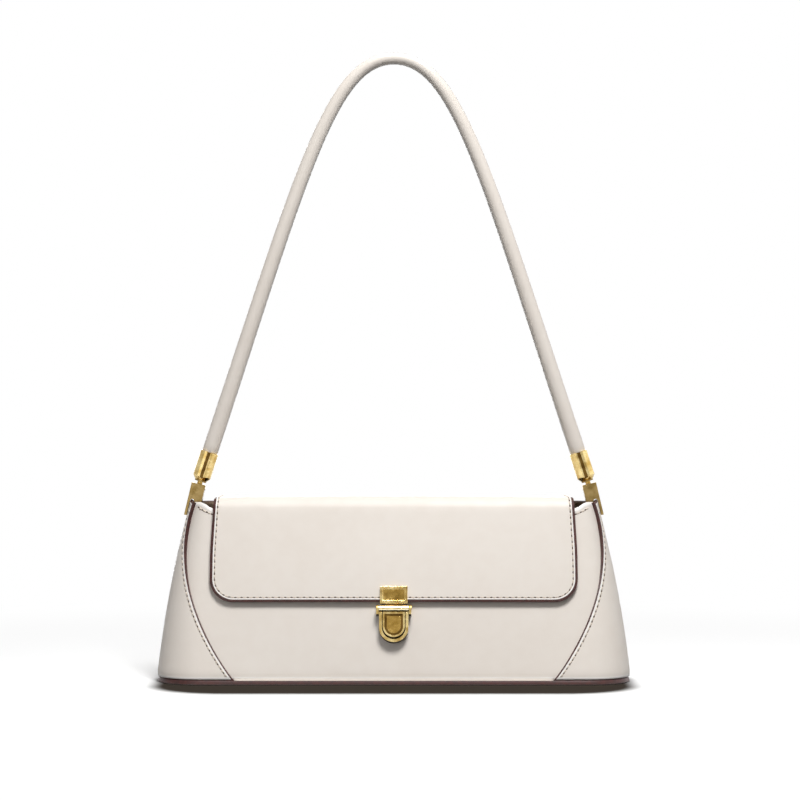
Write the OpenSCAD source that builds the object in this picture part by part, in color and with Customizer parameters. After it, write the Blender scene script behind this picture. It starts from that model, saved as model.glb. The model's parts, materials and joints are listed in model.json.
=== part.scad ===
// Baguette bag: a long trapezoid body with wrap-round end gussets, a flap with
// a tuck lock, and a rolled strap held in metal ends. Front faces -Y, Z is up,
// and the origin lies under the middle of the base.

/* [Body] */
// Length of the base
base_w = 269; // [240:1:300]
// Depth of the base
base_d = 86; // [76:1:96]
// Height of the body, to the top of the gussets
body_h = 101; // [92:1:112]
// Length of the body at its mouth
mouth_w = 233; // [222:1:244]
// Depth of the body at its mouth
mouth_d = 30; // [28:1:34]
// Plan radius of the corners at the base
base_corner = 26; // [18:1:30]
// Plan radius of the corners at the mouth
mouth_corner = 12.5; // [10:0.5:14]
// Outward bow of the two ends
side_belly = 2; // [0:0.25:4]
// Outward bow of the front and the back
panel_swell = 1.2; // [0:0.2:2]
// Depth of the dip in the top edge of the front panel
front_dip = 10; // [4:1:14]

/* [Gusset seam] */
// Half distance between the front seams at the base
seam_base = 87; // [78:1:94]
// Half distance between the front seams at the mouth
seam_mouth = 114; // [111:0.5:115]
// Width of panel that lies hidden under each gusset
seam_lap = 6; // [4:0.5:8]

/* [Leather and lining] */
// Thickness of a gusset
gusset_t = 2.0; // [1.4:0.1:2.2]
// Thickness of the front and back panels
panel_t = 1.6; // [1.2:0.1:1.8]
// Thickness of the base panel
base_t = 2.2; // [1.6:0.1:3]
// Thickness of the board under the lining
board_t = 1.4; // [1:0.1:2]
// Thickness of the lining
lining_t = 0.6; // [0.4:0.1:0.8]
// Distance of the lining in from the outside, at the base
lining_in = 5.7; // [5.6:0.1:7]
// Width of the pocket inside the back
pocket_w = 130; // [90:5:150]
// Height of the pocket's mouth
pocket_top = 80; // [60:1:84]
// Height of the pocket's bottom edge
pocket_bottom = 28; // [20:1:40]

/* [Flap] */
// Half width of the flap at its hinge edge
flap_back_half = 98; // [92:0.5:99]
// Half width of the flap at the front fold
flap_fold_half = 101.6; // [98:0.2:101.8]
// Half width of the flap low on the front
flap_half = 103.6; // [99:0.2:104]
// Radius of the flap's lower corners
flap_corner = 13.5; // [8:0.5:20]
// Height of the flap's lower edge
flap_low = 45.2; // [40:0.2:50]
// Thickness of the flap leather
flap_leather_t = 1.4; // [1:0.1:1.6]
// Thickness of the flap lining
flap_lining_t = 0.75; // [0.5:0.05:0.9]
// Height of the flap's top above the body
flap_rise = 3.2; // [2.8:0.1:4.2]
// Radius of the front fold, on the flap's mid-surface
flap_fold_r = 6; // [5:0.25:7]
// Extra height of the flap's top at mid length
flap_crown = 0.8; // [0:0.1:1.2]
// Space between the flap and the front panel
flap_gap = 0.9; // [0.8:0.1:1.2]
// Length of the part of the flap that is sewn to the back
tail_drop = 24; // [16:1:34]

/* [Strap] */
// Height of the strap's centreline at its top
strap_top = 354.6; // [300:1:380]
// Thickness of the strap where it enters its ends
strap_end_d = 9.2; // [8:0.1:9.4]
// Thickness of the strap at its top
strap_top_d = 6.8; // [6:0.1:9]
// Lean of the strap's legs from upright
strap_lean = 18.3; // [14:0.1:22]
// Pull of the legs on the curve of the strap
strap_leg_pull = 170; // [120:1:190]
// Pull of the top on the curve of the strap
strap_top_pull = 36; // [20:1:60]
// Wall of the rolled leather tube
strap_wall = 1.3; // [1:0.1:1.6]

/* [Strap ends] */
// Width of a metal strap end
cap_w = 10.2; // [9.8:0.1:11]
// Length of a metal strap end
cap_len = 17.2; // [14:0.2:20]
// Width of the channel down a strap end
cap_groove_w = 1.8; // [1.2:0.1:2.4]
// Depth of the channel down a strap end
cap_groove_d = 0.5; // [0.3:0.05:0.5]
// Depth of the solid bottom of a strap end
cap_floor = 4; // [3:0.2:5]
// Radius of the socket that holds the strap
socket_r = 4.0; // [3.6:0.05:4.1]

/* [Clips] */
// Width of a clip block, across the gusset edge
clip_w = 8; // [7.6:0.1:9]
// Depth of a clip block, front to back
clip_d = 9.2; // [8:0.1:11]
// Height of a clip block
clip_h = 10.4; // [10.2:0.1:12]
// Length of the outer leg below the gusset edge
clip_leg = 8; // [6:0.5:12]
// Length of the inner leg below the gusset edge
clip_inner_leg = 3; // [2:0.5:6]
// Thickness of the clip legs
clip_leg_t = 1.4; // [1.1:0.1:1.5]
// Radius of the strap pin
pin_r = 0.9; // [0.7:0.05:1.1]

/* [Tuck lock] */
// Height of the lock's bar
lock_z = 41.1; // [39:0.1:44]
// Width of the lock case
case_w = 16.5; // [15:0.1:18]
// Height of the lock case below the bar
case_h = 17; // [16:0.1:19]
// Depth of the lock case
case_t = 5.0; // [4.6:0.1:5.6]
// Width of the rim of the lock case
case_rim = 1.65; // [1.2:0.05:2]
// Thickness of the floor of the lock case
case_floor = 1.0; // [0.8:0.1:1.2]
// Radius of the bar
bar_r = 2.0; // [1.8:0.05:2.2]
// Length of the bar with its two ears
lock_span = 19.7; // [19:0.1:21]
// Thickness of an ear
ear_t = 1.4; // [1.2:0.1:1.6]
// Thickness of the thumb plate
thumb_t = 1.6; // [1.2:0.1:1.7]
// Width of the flap's lock plate
plate_w = 15.5; // [14:0.1:17]
// Height of the flap's lock plate
plate_h = 9.9; // [9:0.1:11]
// Thickness of the flap's lock plate
plate_t = 1.7; // [1.4:0.1:2.2]

/* [Clearances] */
// Space between pieces that are stitched or glued together
seat_gap = 0.2; // [0.1:0.05:0.25]
// Running clearance on a radius
run_gap = 0.06; // [0.02:0.01:0.1]

/* [Hidden] */
$fn = 48;

cream = [0.93, 0.90, 0.86];
edge_red = [0.33, 0.16, 0.14];
lining_tan = [0.72, 0.66, 0.58];
antique_brass = [0.70, 0.58, 0.30];
steel = [0.6, 0.6, 0.62];

WALL_ROWS = 12;
SEAM_STEPS = 24;
// Columns over the flat stretch, the corner and the end of a section
FLAT_COLS = 4;
CORNER_COLS = 5;
LAP_COLS = 4;

// Point at t on a cubic curve with four control values or points
function bezier(p, t) = pow(1 - t, 3) * p[0] + 3 * pow(1 - t, 2) * t * p[1]
    + 3 * (1 - t) * t * t * p[2] + pow(t, 3) * p[3];
function mix(a, b, t) = a + (b - a) * t;
function eased(t) = t * t * (3 - 2 * t);

// The body's sections are rounded oblongs that shrink towards the mouth
function side_half(z) = mix(base_w, mouth_w, z / body_h) / 2
    + side_belly * sin(180 * z / body_h);
function depth_half(z) = mix(base_d, mouth_d, z / body_h) / 2;
function corner_r(z) = mix(base_corner, mouth_corner, z / body_h);
function flat_half(z) = side_half(z) - corner_r(z);
function turn_length(z) = corner_r(z) * PI / 2;
function swell(x, z) = panel_swell * sin(180 * z / body_h)
    * max(0, 1 - pow(x / flat_half(z), 2));

// Place on a section: p runs along its outline from the middle of the front
function wall_xy(p, z, inset) = let(
        flat = flat_half(z),
        r = corner_r(z),
        past = p - flat,
        beyond = past - turn_length(z),
        a = past / r * 180 / PI)
    past <= 0 ? [p, depth_half(z) - inset + swell(p, z)]
    : beyond <= 0 ? [flat + (r - inset) * sin(a), depth_half(z) - r + (r - inset) * cos(a)]
    : [flat + r - inset, max(0, depth_half(z) - r - beyond)];
function end_p(z) = flat_half(z) + turn_length(z) + depth_half(z) - corner_r(z);

// The seam bows outwards as it climbs from the base to the mouth
seam_bow = 14;
seam_x = [seam_base, mix(seam_base, seam_mouth, 0.7), seam_mouth + seam_bow, seam_mouth];
seam_h = [0, 0.22 * body_h, 0.65 * body_h, body_h];
SEAM = [for (i = [0:SEAM_STEPS])
    [bezier(seam_h, i / SEAM_STEPS), bezier(seam_x, i / SEAM_STEPS)]];
function seam_p(z) = let(
        s = lookup(z, SEAM),
        flat = flat_half(z),
        r = corner_r(z))
    s <= flat ? s : flat + r * asin(min(0.98, (s - flat) / r)) * PI / 180;

panel_in = gusset_t + seat_gap;
// Space kept between the hidden edge of a panel and a clip
clip_margin = 1.4;
// How far the lining stops below the top edge
lining_drop = 0.6;
wall_foot = base_t;
front_lean = atan((base_d - mouth_d) / 2 / body_h);
// How far in the lining lies: it draws towards the panels at the mouth
function lining_inset(z) = mix(lining_in, seat_gap
    + max(panel_in + panel_t, clip_slot - seat_gap + clip_leg_t), eased(z / body_h));
// Top edge of the front: low under the flap, rising to the gussets
function front_top(x) = body_h - front_dip * (1 - pow(min(1, abs(x) / seam_mouth), 5.5));

flap_t = flap_leather_t + flap_lining_t + 0.05;
hinge_z = body_h + flap_rise - flap_t / 2 - flap_crown * 0.6;
hinge_y = mouth_d / 2 - panel_in + seat_gap + flap_t / 2;

pin_drop = 3;
// Distance of a strap end from its pin
cap_start = 4.8;
cap_mouth = cap_start + cap_len;
clip_lean = atan((side_half(body_h - 8) - side_half(body_h)) / 8);
// The inner leg stands off by as much as the gusset curves across the clip
clip_inner_r = mouth_corner - gusset_t;
clip_sag = clip_inner_r - sqrt(pow(clip_inner_r, 2)
    - pow(max(0, clip_d / 2 - (mouth_d / 2 - mouth_corner)), 2));
clip_slot = gusset_t + 2 * seat_gap + clip_sag;
clip_foot = 0.6;
block_x = seat_gap + clip_leg_t - clip_w / 2;
pin_up = clip_foot + clip_h - pin_drop;
pin_x = side_half(body_h) + block_x * cos(clip_lean) - pin_up * sin(clip_lean);
pin_z = body_h + block_x * sin(clip_lean) + pin_up * cos(clip_lean);
screw_r = 1.1;
cheek_t = 1.1;
cheek_r = 3.2;
slot_w = clip_w - 2 * cheek_t;
front_wall = 1.4;
lug_r = 2.3;

function panel_out(z) = depth_half(z) - panel_in + swell(0, z);
lock_y = -panel_out(lock_z);
lock_lean = atan((panel_out(lock_z - case_h) - panel_out(lock_z)) / case_h);
bar_n = 4.0;
ear_in = lock_span / 2 - ear_t;
case_top = -bar_r;

// One polygon mesh between an outer and an inner grid of points, given as rows
module sheet(outer, inner, flip = false) {
    rows = len(outer);
    cols = len(outer[0]);
    n = rows * cols;
    function at(i, j) = i * cols + j;
    function quad(a, b, c, d) = flip ? [[a, c, b], [a, d, c]] : [[a, b, c], [a, c, d]];
    faces = [
        for (i = [0:rows - 2], j = [0:cols - 2]) each concat(
            quad(at(i, j), at(i, j + 1), at(i + 1, j + 1), at(i + 1, j)),
            quad(n + at(i, j), n + at(i + 1, j), n + at(i + 1, j + 1), n + at(i, j + 1))),
        for (j = [0:cols - 2]) each concat(
            quad(at(0, j + 1), at(0, j), n + at(0, j), n + at(0, j + 1)),
            quad(at(rows - 1, j), at(rows - 1, j + 1),
                n + at(rows - 1, j + 1), n + at(rows - 1, j))),
        for (i = [0:rows - 2]) each concat(
            quad(at(i, 0), at(i + 1, 0), n + at(i + 1, 0), n + at(i, 0)),
            quad(at(i + 1, cols - 1), at(i, cols - 1),
                n + at(i, cols - 1), n + at(i + 1, cols - 1)))];
    polyhedron([for (row = outer) each row, for (row = inner) each row], faces);
}

// A skin over a row of closed loops: capped at both ends, or joined into a ring
module skin(loops, ring = false) {
    rows = len(loops);
    cols = len(loops[0]);
    last = ring ? rows - 1 : rows - 2;
    function at(i, j) = (i % rows) * cols + j % cols;
    faces = [
        for (i = [0:last], j = [0:cols - 1]) each [
            [at(i, j), at(i + 1, j + 1), at(i, j + 1)],
            [at(i, j), at(i + 1, j), at(i + 1, j + 1)]],
        if (!ring) [for (j = [0:cols - 1]) j],
        if (!ring) [for (j = [cols - 1:-1:0]) (rows - 1) * cols + j]];
    polyhedron([for (loop = loops) each loop], faces);
}

// Step k of a run through the places in at, with as many steps as steps says
function staged(k, at, steps, i = 0) = i == len(steps) - 1 || k <= steps[i]
    ? mix(at[i], at[i + 1], k / steps[i]) : staged(k - steps[i], at, steps, i + 1);

// Grid of a front or back panel; side is -1 at the front and 1 at the back
function panel_p(k, z) = let(
        reach = min(seam_p(z) + seam_lap, end_p(z) - clip_d / 2 - clip_margin))
    staged(k, [0, min(flat_half(z), 0.85 * reach), reach], [FLAT_COLS, LAP_COLS]);
function panel_grid(side, inset) = let(n = FLAT_COLS + LAP_COLS) [for (i = [0:WALL_ROWS])
    [for (j = [-n:n]) let(
            top = side < 0 ? front_top(panel_p(abs(j), body_h)) : body_h,
            z = mix(wall_foot, top, i / WALL_ROWS),
            q = wall_xy(panel_p(abs(j), z), z, inset))
        [sign(j) * q[0], side * q[1], z]]];

// Grid of a gusset, round one end of the body from seam to seam
function gusset_p(k, z) = let(
        seam = seam_p(z),
        round_end = flat_half(z) + turn_length(z),
        round_start = max(flat_half(z), mix(seam, round_end, 0.25)))
    staged(k, [end_p(z), round_end, round_start, seam], [1, CORNER_COLS, 2]);
function gusset_grid(side, inset) = let(n = CORNER_COLS + 3) [for (i = [0:WALL_ROWS])
    let(z = mix(wall_foot, body_h, i / WALL_ROWS))
    [for (j = [-n:n]) let(q = wall_xy(gusset_p(abs(j), z), z, inset))
        [side * q[0], sign(j) * q[1], z]]];

// One loop round the inside of the body at share t of its height
CUP_COLS = FLAT_COLS + CORNER_COLS + 1;
function cup_p(k, z) = let(flat = flat_half(z))
    staged(k, [0, flat, flat + turn_length(z), end_p(z)], [FLAT_COLS, CORNER_COLS, 1]);
function cup_loop(t, inset_more, foot) = [for (k = [0:4 * CUP_COLS - 1]) let(
        quarter = floor(k / CUP_COLS),
        step = k % CUP_COLS,
        col = quarter % 2 == 0 ? step : CUP_COLS - step,
        sx = quarter < 2 ? 1 : -1,
        sy = quarter == 0 || quarter == 3 ? -1 : 1,
        rim = sy < 0 ? front_top(cup_p(col, body_h)) : body_h,
        z = mix(foot, rim - lining_drop, t),
        q = wall_xy(cup_p(col, z), z, lining_inset(z) + inset_more))
    [sx * q[0], sy * q[1], z]];

module base_panel() color(cream) linear_extrude(base_t) base_outline(0);

module base_outline(inset) {
    r = base_corner - inset;
    hull() for (x = [-1, 1], y = [-1, 1])
        translate([x * (base_w / 2 - base_corner), y * (base_d / 2 - base_corner)]) circle(r);
}

module base_board() color(lining_tan)
    translate([0, 0, base_t]) linear_extrude(board_t) base_outline(lining_in);

module front_panel() color(cream)
    sheet(panel_grid(-1, panel_in), panel_grid(-1, panel_in + panel_t), true);

module back_panel() color(cream)
    sheet(panel_grid(1, panel_in), panel_grid(1, panel_in + panel_t));

module gusset(side) color(cream)
    sheet(gusset_grid(side, 0), gusset_grid(side, gusset_t), side > 0);

module left_gusset() gusset(-1);
module right_gusset() gusset(1);

module lining() color(lining_tan) {
    foot = base_t + board_t + seat_gap;
    steps = [0, 0.06, 0.25, 0.45, 0.65, 0.85, 1];
    skin(concat(
        [for (t = steps) cup_loop(t, 0, foot)],
        [for (k = [len(steps) - 1:-1:0]) cup_loop(steps[k], lining_t, foot + lining_t)]));
}

function pocket_grid(out) = [for (i = [0:4])
    let(z = mix(pocket_bottom, pocket_top, i / 4)) [for (j = [0:8]) let(
            x = pocket_w * (j / 8 - 0.5),
            q = wall_xy(abs(x), z, lining_inset(z) + lining_t + out))
        [x, q[1], z]]];

module inner_pocket() color(lining_tan)
    sheet(pocket_grid(seat_gap), pocket_grid(seat_gap + lining_t));

// The flap's mid-surface: [y, z, ny, nz] at distance s from the hinge
flap_mid_in = panel_in - (flap_gap + flap_t / 2) / cos(front_lean);
fold_z = hinge_z - flap_fold_r;
fold_end_z = fold_z + flap_fold_r * sin(front_lean);
fold_y = -(depth_half(fold_end_z) - flap_mid_in) + flap_fold_r * cos(front_lean);
top_run = hinge_y - fold_y;
fold_turn = 90 - front_lean;
fold_run = flap_fold_r * fold_turn * PI / 180;
drop_run = (fold_end_z - flap_low) / cos(front_lean);
flap_run = top_run + fold_run + drop_run;

function flap_mid(s) = s <= top_run ? [hinge_y - s, hinge_z, 0, 1]
    : s <= top_run + fold_run ? let(a = (s - top_run) / flap_fold_r * 180 / PI)
        [fold_y - flap_fold_r * sin(a), fold_z + flap_fold_r * cos(a), -sin(a), cos(a)]
    : let(z = fold_end_z - (s - top_run - fold_run) * cos(front_lean))
        [-(depth_half(z) - flap_mid_in), z, -cos(front_lean), sin(front_lean)];

// Half width of the flap at s, with its rounded lower corners
function flap_edge(s) = let(
        plain = s < top_run + fold_run / 2
            ? mix(flap_back_half, flap_fold_half, s / (top_run + fold_run / 2))
            : mix(flap_fold_half, flap_half, min(1, (s - top_run - fold_run / 2) / 30)),
        into = s - (flap_run - flap_corner))
    into <= 0 ? plain
    : plain - flap_corner + sqrt(max(0, pow(flap_corner, 2) - into * into));

FLAP_STATIONS = concat(
    [for (i = [0:2]) top_run * i / 2],
    [for (i = [1:5]) top_run + fold_run * i / 5],
    [for (i = [1:4]) top_run + fold_run + (drop_run - flap_corner) * i / 4],
    [for (i = [1:6]) flap_run - flap_corner * (1 - sin(15 * i))]);
FLAP_COLS = 10;

function flap_grid(out, trim) = [for (s = FLAP_STATIONS) let(
        near = min(max(s, 0), flap_run - trim),
        m = flap_mid(near),
        half = flap_edge(s) - trim)
    [for (j = [0:FLAP_COLS]) let(
            u = 2 * j / FLAP_COLS - 1,
            x = u * half,
            bow = swell(x, m[1]) * -m[2],
            rise = flap_crown * (1 - u * u) * m[3])
        [x, m[0] + out * m[2] - bow, m[1] + out * m[3] + rise]]];

module flap() color(cream)
    sheet(flap_grid(flap_t / 2, 0), flap_grid(flap_t / 2 - flap_leather_t, 0));

module flap_lining() color(edge_red)
    sheet(flap_grid(flap_lining_t - flap_t / 2, 0.4), flap_grid(-flap_t / 2, 0.4));

// The end of the flap leather that is sewn down the outside of the back panel
tail_top = hinge_z - flap_t / 2 - seat_gap;
function tail_grid(out) = [for (i = [0:3]) let(z = tail_top - tail_drop * i / 3)
    [for (j = [0:FLAP_COLS]) let(
            x = 2 * flap_back_half * (j / FLAP_COLS - 0.5),
            q = wall_xy(min(abs(x), flat_half(z)), z, panel_in - seat_gap - out))
        [x, q[1], z]]];

module flap_tail() color(cream) sheet(tail_grid(flap_t), tail_grid(0), true);

// Local frame of a clip: origin on the gusset's outer top edge, Z up its lean
module at_gusset_edge(side) mirror([side > 0 ? 0 : 1, 0, 0])
    translate([side_half(body_h), 0, body_h]) rotate([0, -clip_lean, 0]) children();

module at_pin(side) mirror([side > 0 ? 0 : 1, 0, 0])
    translate([pin_x, 0, pin_z]) children();

// Dimple in the front of a clip block
dimple_r = 0.9;
dimple_deep = 0.35;
dimple_drop = 0.3;
// Depth that the block is cut below the lug, at the back
fold_room = 1.1;
module clip(side) color(antique_brass) difference() {
    at_gusset_edge(side) difference() {
        translate([0, clip_d / 2, 0]) rotate([90, 0, 0]) linear_extrude(clip_d)
            clip_outline();
        translate([block_x - slot_w / 2, front_wall - clip_d / 2, pin_up - lug_r - 0.6])
            cube([slot_w, clip_d, clip_h]);
        translate([block_x, dimple_deep - clip_d / 2, pin_up - dimple_drop])
            rotate([90, 0, 0]) cylinder(h = 1, r = dimple_r);
    }
    at_clip_screw(side) translate([0, 0, -0.1]) cylinder(h = 2 * clip_leg_t, r = screw_r + run_gap);
    at_pin(side) {
        rotate([0, 90, 0]) cylinder(h = 4 * clip_w, r = pin_r + run_gap, center = true);
        // Room behind for the strap end to turn down
        difference() {
            translate([-clip_w, 0, -lug_r - fold_room]) cube([2 * clip_w, clip_d, clip_h]);
            rotate([0, 90, 0]) cylinder(h = 3 * clip_w, r = cheek_r, center = true);
        }
    }
}

module clip_outline() {
    outer = seat_gap + clip_leg_t;
    inner = outer - clip_slot - 2 * clip_leg_t;
    difference() {
        union() {
            translate([outer - clip_w, clip_foot]) square([clip_w, clip_h]);
            translate([outer - clip_leg_t, -clip_leg])
                square([clip_leg_t, clip_leg + clip_foot + 1]);
            translate([inner, -clip_inner_leg])
                square([clip_leg_t, clip_inner_leg + clip_foot + 1]);
        }
        // Arch that the gusset edge stands in
        translate([outer - clip_leg_t - clip_slot / 2, 0.5]) circle(clip_slot / 2);
    }
}

module left_clip() clip(-1);
module right_clip() clip(1);

module strap_pin(side) color(antique_brass) at_pin(side)
    rotate([0, 90, 0]) cylinder(h = clip_w + 0.6, r = pin_r, center = true);

module left_pin() strap_pin(-1);
module right_pin() strap_pin(1);

// Grub screws through the inner legs, which clamp the clips to the gussets
module at_clip_screw(side) at_gusset_edge(side)
    translate([seat_gap - clip_slot, 0, -clip_inner_leg / 2]) rotate([0, -90, 0]) children();
module clip_screws() color(antique_brass) for (side = [-1, 1]) at_clip_screw(side)
    difference() {
        cylinder(h = clip_leg_t - 0.1, r = screw_r);
        translate([-screw_r, -0.2, clip_leg_t - 0.5]) cube([2 * screw_r, 0.4, 0.5]);
    }

// Local frame of the lock: origin on the front panel, Z up the panel
module at_lock() translate([0, lock_y, lock_z]) rotate([-lock_lean, 0, 0]) children();
// The same place, with Z up the flap
module at_flap_lock() translate([0, lock_y, lock_z]) rotate([-front_lean, 0, 0]) children();
// A flat outline stood up in the lock's frame, between two depths off the panel
module plate(from, to) translate([0, -from, 0]) rotate([90, 0, 0])
    linear_extrude(to - from) children();

module d_shape(w, h, top) union() {
    translate([-w / 2, top - h + w / 2]) square([w, h - w / 2]);
    translate([0, top - h + w / 2]) circle(w / 2);
}

module ear(x) translate([x, 0, 0]) rotate([90, 0, 90]) linear_extrude(ear_t)
    difference() {
        union() {
            translate([-bar_n, 0]) circle(bar_r + 0.1);
            translate([-bar_n - bar_r - 0.1, -bar_r - 1.4])
                square([bar_n + bar_r + 0.1 - case_floor / 2, bar_r + 1.4]);
        }
        translate([-bar_n, 0]) circle(catch_pin_r + run_gap);
    }
catch_pin_r = 0.7;

prong_w = 2;
prong_x = 4;
prong_t = 0.5;
washer_t = 0.6;
washer_in = panel_t + seat_gap / 2;

module lock_case() color(antique_brass) at_lock() {
    difference() {
        plate(0.05, case_t) d_shape(case_w, case_h, case_top);
        plate(case_floor, case_t + 1)
            d_shape(case_w - 2 * case_rim, case_h - case_rim + 5, case_top + 5);
    }
    plate(0.05, case_floor) translate([-lock_span / 2, case_top - 1.4])
        square([lock_span, 2 * bar_r + 1.6]);
    ear(-lock_span / 2);
    ear(ear_in);
    for (x = [-1, 1], t = [-4.5, -13]) {
        plate(-washer_in - washer_t - 0.05, 0.1)
            translate([x * prong_x - prong_w / 2, t]) square([prong_w, prong_t]);
        plate(-washer_in - washer_t - 0.05 - prong_t, -washer_in - washer_t - 0.05)
            translate([x * prong_x - prong_w / 2, t - 1.4]) square([prong_w, 2]);
    }
}

module lock_washer() color(steel) at_lock() plate(-washer_in - washer_t, -washer_in)
    difference() {
        translate([-prong_x - 3, -15.5]) square([2 * prong_x + 6, 14]);
        for (x = [-1, 1], t = [-4.5, -13])
            translate([x * prong_x - prong_w / 2 - 0.1, t - 0.1])
                square([prong_w + 0.2, prong_t + 0.2]);
    }

module catch_pin() color(antique_brass) at_lock() translate([0, -bar_n, 0])
    rotate([0, 90, 0]) cylinder(h = lock_span + 0.2, r = catch_pin_r, center = true);

thumb_back = bar_n - 0.6 - thumb_t / 2;
thumb_w = case_w - 2 * case_rim - 0.8;
thumb_h = case_h - case_rim - 0.8;

module thumb_plate() color(antique_brass) at_lock() difference() {
    union() {
        // The bar, flat behind so that the flap's tongue can pass
        translate([0, -bar_n, 0]) rotate([0, 90, 0])
            cylinder(h = 2 * (ear_in - 0.15), r = bar_r, center = true);
        plate(thumb_back, thumb_back + thumb_t) d_shape(thumb_w, thumb_h, case_top + 0.4);
        plate(thumb_back, thumb_back + thumb_t + 0.4) difference() {
            d_shape(thumb_w, thumb_h - 0.4, case_top);
            d_shape(thumb_w - 2, thumb_h - 2.4, case_top - 1);
        }
        plate(thumb_back, thumb_back + thumb_t + 0.2)
            d_shape(thumb_w - 4.6, thumb_h - 5, case_top - 2.3);
    }
    plate(-1, thumb_back) translate([-lock_span / 2, -bar_r])
        square([lock_span, 3 * bar_r]);
    translate([0, -bar_n, 0]) rotate([0, 90, 0])
        cylinder(h = 2 * lock_span, r = catch_pin_r + run_gap, center = true);
}

// Leaf spring on the floor of the case, bearing under the thumb plate
module catch_spring() color(steel) at_lock() rotate([90, 0, 90])
    linear_extrude(5, center = true) polygon([
        [-case_floor, -9.5], [-case_floor, -5.5], [0.62 - thumb_back, -2.75],
        [0.32 - thumb_back, -2.6], [-case_floor - 0.3, -5.9], [-case_floor - 0.3, -9.5]]);

flap_mid_n = flap_gap + flap_t / 2;
plate_low = (flap_low - lock_z - flap_mid_n * sin(front_lean)) / cos(front_lean) - 1;
plate_n = flap_gap + flap_t + 0.15;

module lock_plate() color(antique_brass) at_flap_lock() {
    plate(plate_n, plate_n + plate_t) difference() {
        translate([-plate_w / 2, plate_low]) square([plate_w, plate_h]);
        translate([1.6 - plate_w / 2, plate_low + 1.8])
            square([plate_w - 3.2, plate_h - 3.4]);
    }
    plate(plate_n, plate_n + plate_t - 0.6)
        translate([-plate_w / 2, plate_low]) square([plate_w, plate_h]);
    plate(2, plate_n + plate_t) translate([-plate_w / 2, plate_low])
        square([plate_w, 0.75]);
}

tongue_low = 1.4;
module lock_tongue() color(antique_brass) at_flap_lock() {
    plate(0.15, flap_gap - 0.25) translate([-6, plate_low + 0.9]) square([12, 8]);
    plate(0.15, 1.95) translate([-4.5, plate_low]) square([9, 0.9]);
    plate(1.15, 1.95) translate([-4.5, tongue_low]) square([9, plate_low - tongue_low]);
}

module plate_rivets() color(antique_brass) at_flap_lock() for (x = [-4, 4])
    translate([x, 0.05 - flap_gap, plate_low + 5]) rotate([90, 0, 0])
        cylinder(h = plate_n - flap_gap, r = 0.8);

// Centreline of half the strap, from the left end's mouth up to the top
cap_dir = [sin(strap_lean), cos(strap_lean)];
strap_foot = [-pin_x, pin_z] + cap_mouth * cap_dir;
STRAP_CURVE = [strap_foot, strap_foot + strap_leg_pull * cap_dir,
    [-strap_top_pull, strap_top], [0, strap_top]];
STRAP_STEPS = 20;
STRAP_SIDES = 10;
CORE_SIDES = 6;
core_gap = 0.35;
strap_root = cap_start + cap_floor + seat_gap;
countersink = 0.7;
// Each stop is [x, z, radius]: pinched in the metal end, then tapering to the top
function strap_stop(along, r) = let(c = [-pin_x, pin_z] + along * cap_dir) [c[0], c[1], r];
HALF_STRAP = concat(
    [strap_stop(strap_root, socket_r - seat_gap),
        strap_stop(cap_mouth - countersink, socket_r - seat_gap),
        strap_stop(cap_mouth + 0.4, strap_end_d / 2)],
    [for (i = [1:STRAP_STEPS]) let(t = i / STRAP_STEPS, c = bezier(STRAP_CURVE, t))
        [c[0], c[1], mix(strap_end_d, strap_top_d, t) / 2]]);
STRAP_STOPS = concat(HALF_STRAP,
    [for (i = [len(HALF_STRAP) - 2:-1:0]) [-HALF_STRAP[i][0], HALF_STRAP[i][1], HALF_STRAP[i][2]]]);

function tube_loop(c, dir, r, sides) = [for (k = [0:sides - 1]) let(a = 360 * k / sides)
    [c[0] + r * cos(a) * dir[1], r * sin(a), c[1] - r * cos(a) * dir[0]]];
function flat_xz(stop) = [stop[0], stop[1]];
function heading(i) = let(
        last = len(STRAP_STOPS) - 1,
        ahead = STRAP_STOPS[min(last, i + 1)],
        v = flat_xz(ahead) - flat_xz(STRAP_STOPS[max(0, i - 1)]))
    v / norm(v);

function strap_loops(thin, sides) = [for (i = [0:len(STRAP_STOPS) - 1])
    tube_loop(STRAP_STOPS[i], heading(i), STRAP_STOPS[i][2] - thin, sides)];

module strap() color(cream) {
    outer = strap_loops(0, STRAP_SIDES);
    inner = strap_loops(strap_wall, STRAP_SIDES);
    skin(concat(outer, [for (i = [len(inner) - 1:-1:0]) inner[i]]), true);
}

module strap_core() color(lining_tan) skin(strap_loops(strap_wall + core_gap, CORE_SIDES));

module at_strap_end(side) at_pin(side) rotate([0, -strap_lean, 0]) children();

// Outline of a strap end: a rounded square with a channel down front and back
cap_round = 3.6;
module cap_outline() difference() {
    hull() for (x = [-1, 1], y = [-1, 1])
        translate([x, y] * (cap_w / 2 - cap_round)) circle(cap_round);
    for (y = [-1, 1]) translate([0, y * cap_w / 2])
        square([cap_groove_w, 2 * cap_groove_d], center = true);
}

// A strap end narrows to a neck at the bottom
cap_neck_r = 3.4;
cap_taper = 7;
module strap_cap(side) color(antique_brass) at_strap_end(side) difference() {
    intersection() {
        translate([0, 0, cap_start]) linear_extrude(cap_len) cap_outline();
        translate([0, 0, cap_start]) rotate_extrude() polygon([[0, 0], [cap_neck_r, 0],
            [cap_neck_r, 0.8], [cap_w, cap_taper], [cap_w, cap_len], [0, cap_len]]);
    }
    translate([0, 0, cap_start + cap_floor]) cylinder(h = cap_len, r = socket_r);
    // Countersink where the leather is drawn in
    translate([0, 0, cap_mouth - countersink])
        cylinder(h = countersink + 0.01, r1 = socket_r, r2 = strap_end_d / 2 + 0.1);
    translate([0, 0, cap_start - 1]) cylinder(h = 1 + spigot_len + 0.2, r = spigot_r + run_gap);
}

module left_cap() strap_cap(-1);
module right_cap() strap_cap(1);

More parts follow.
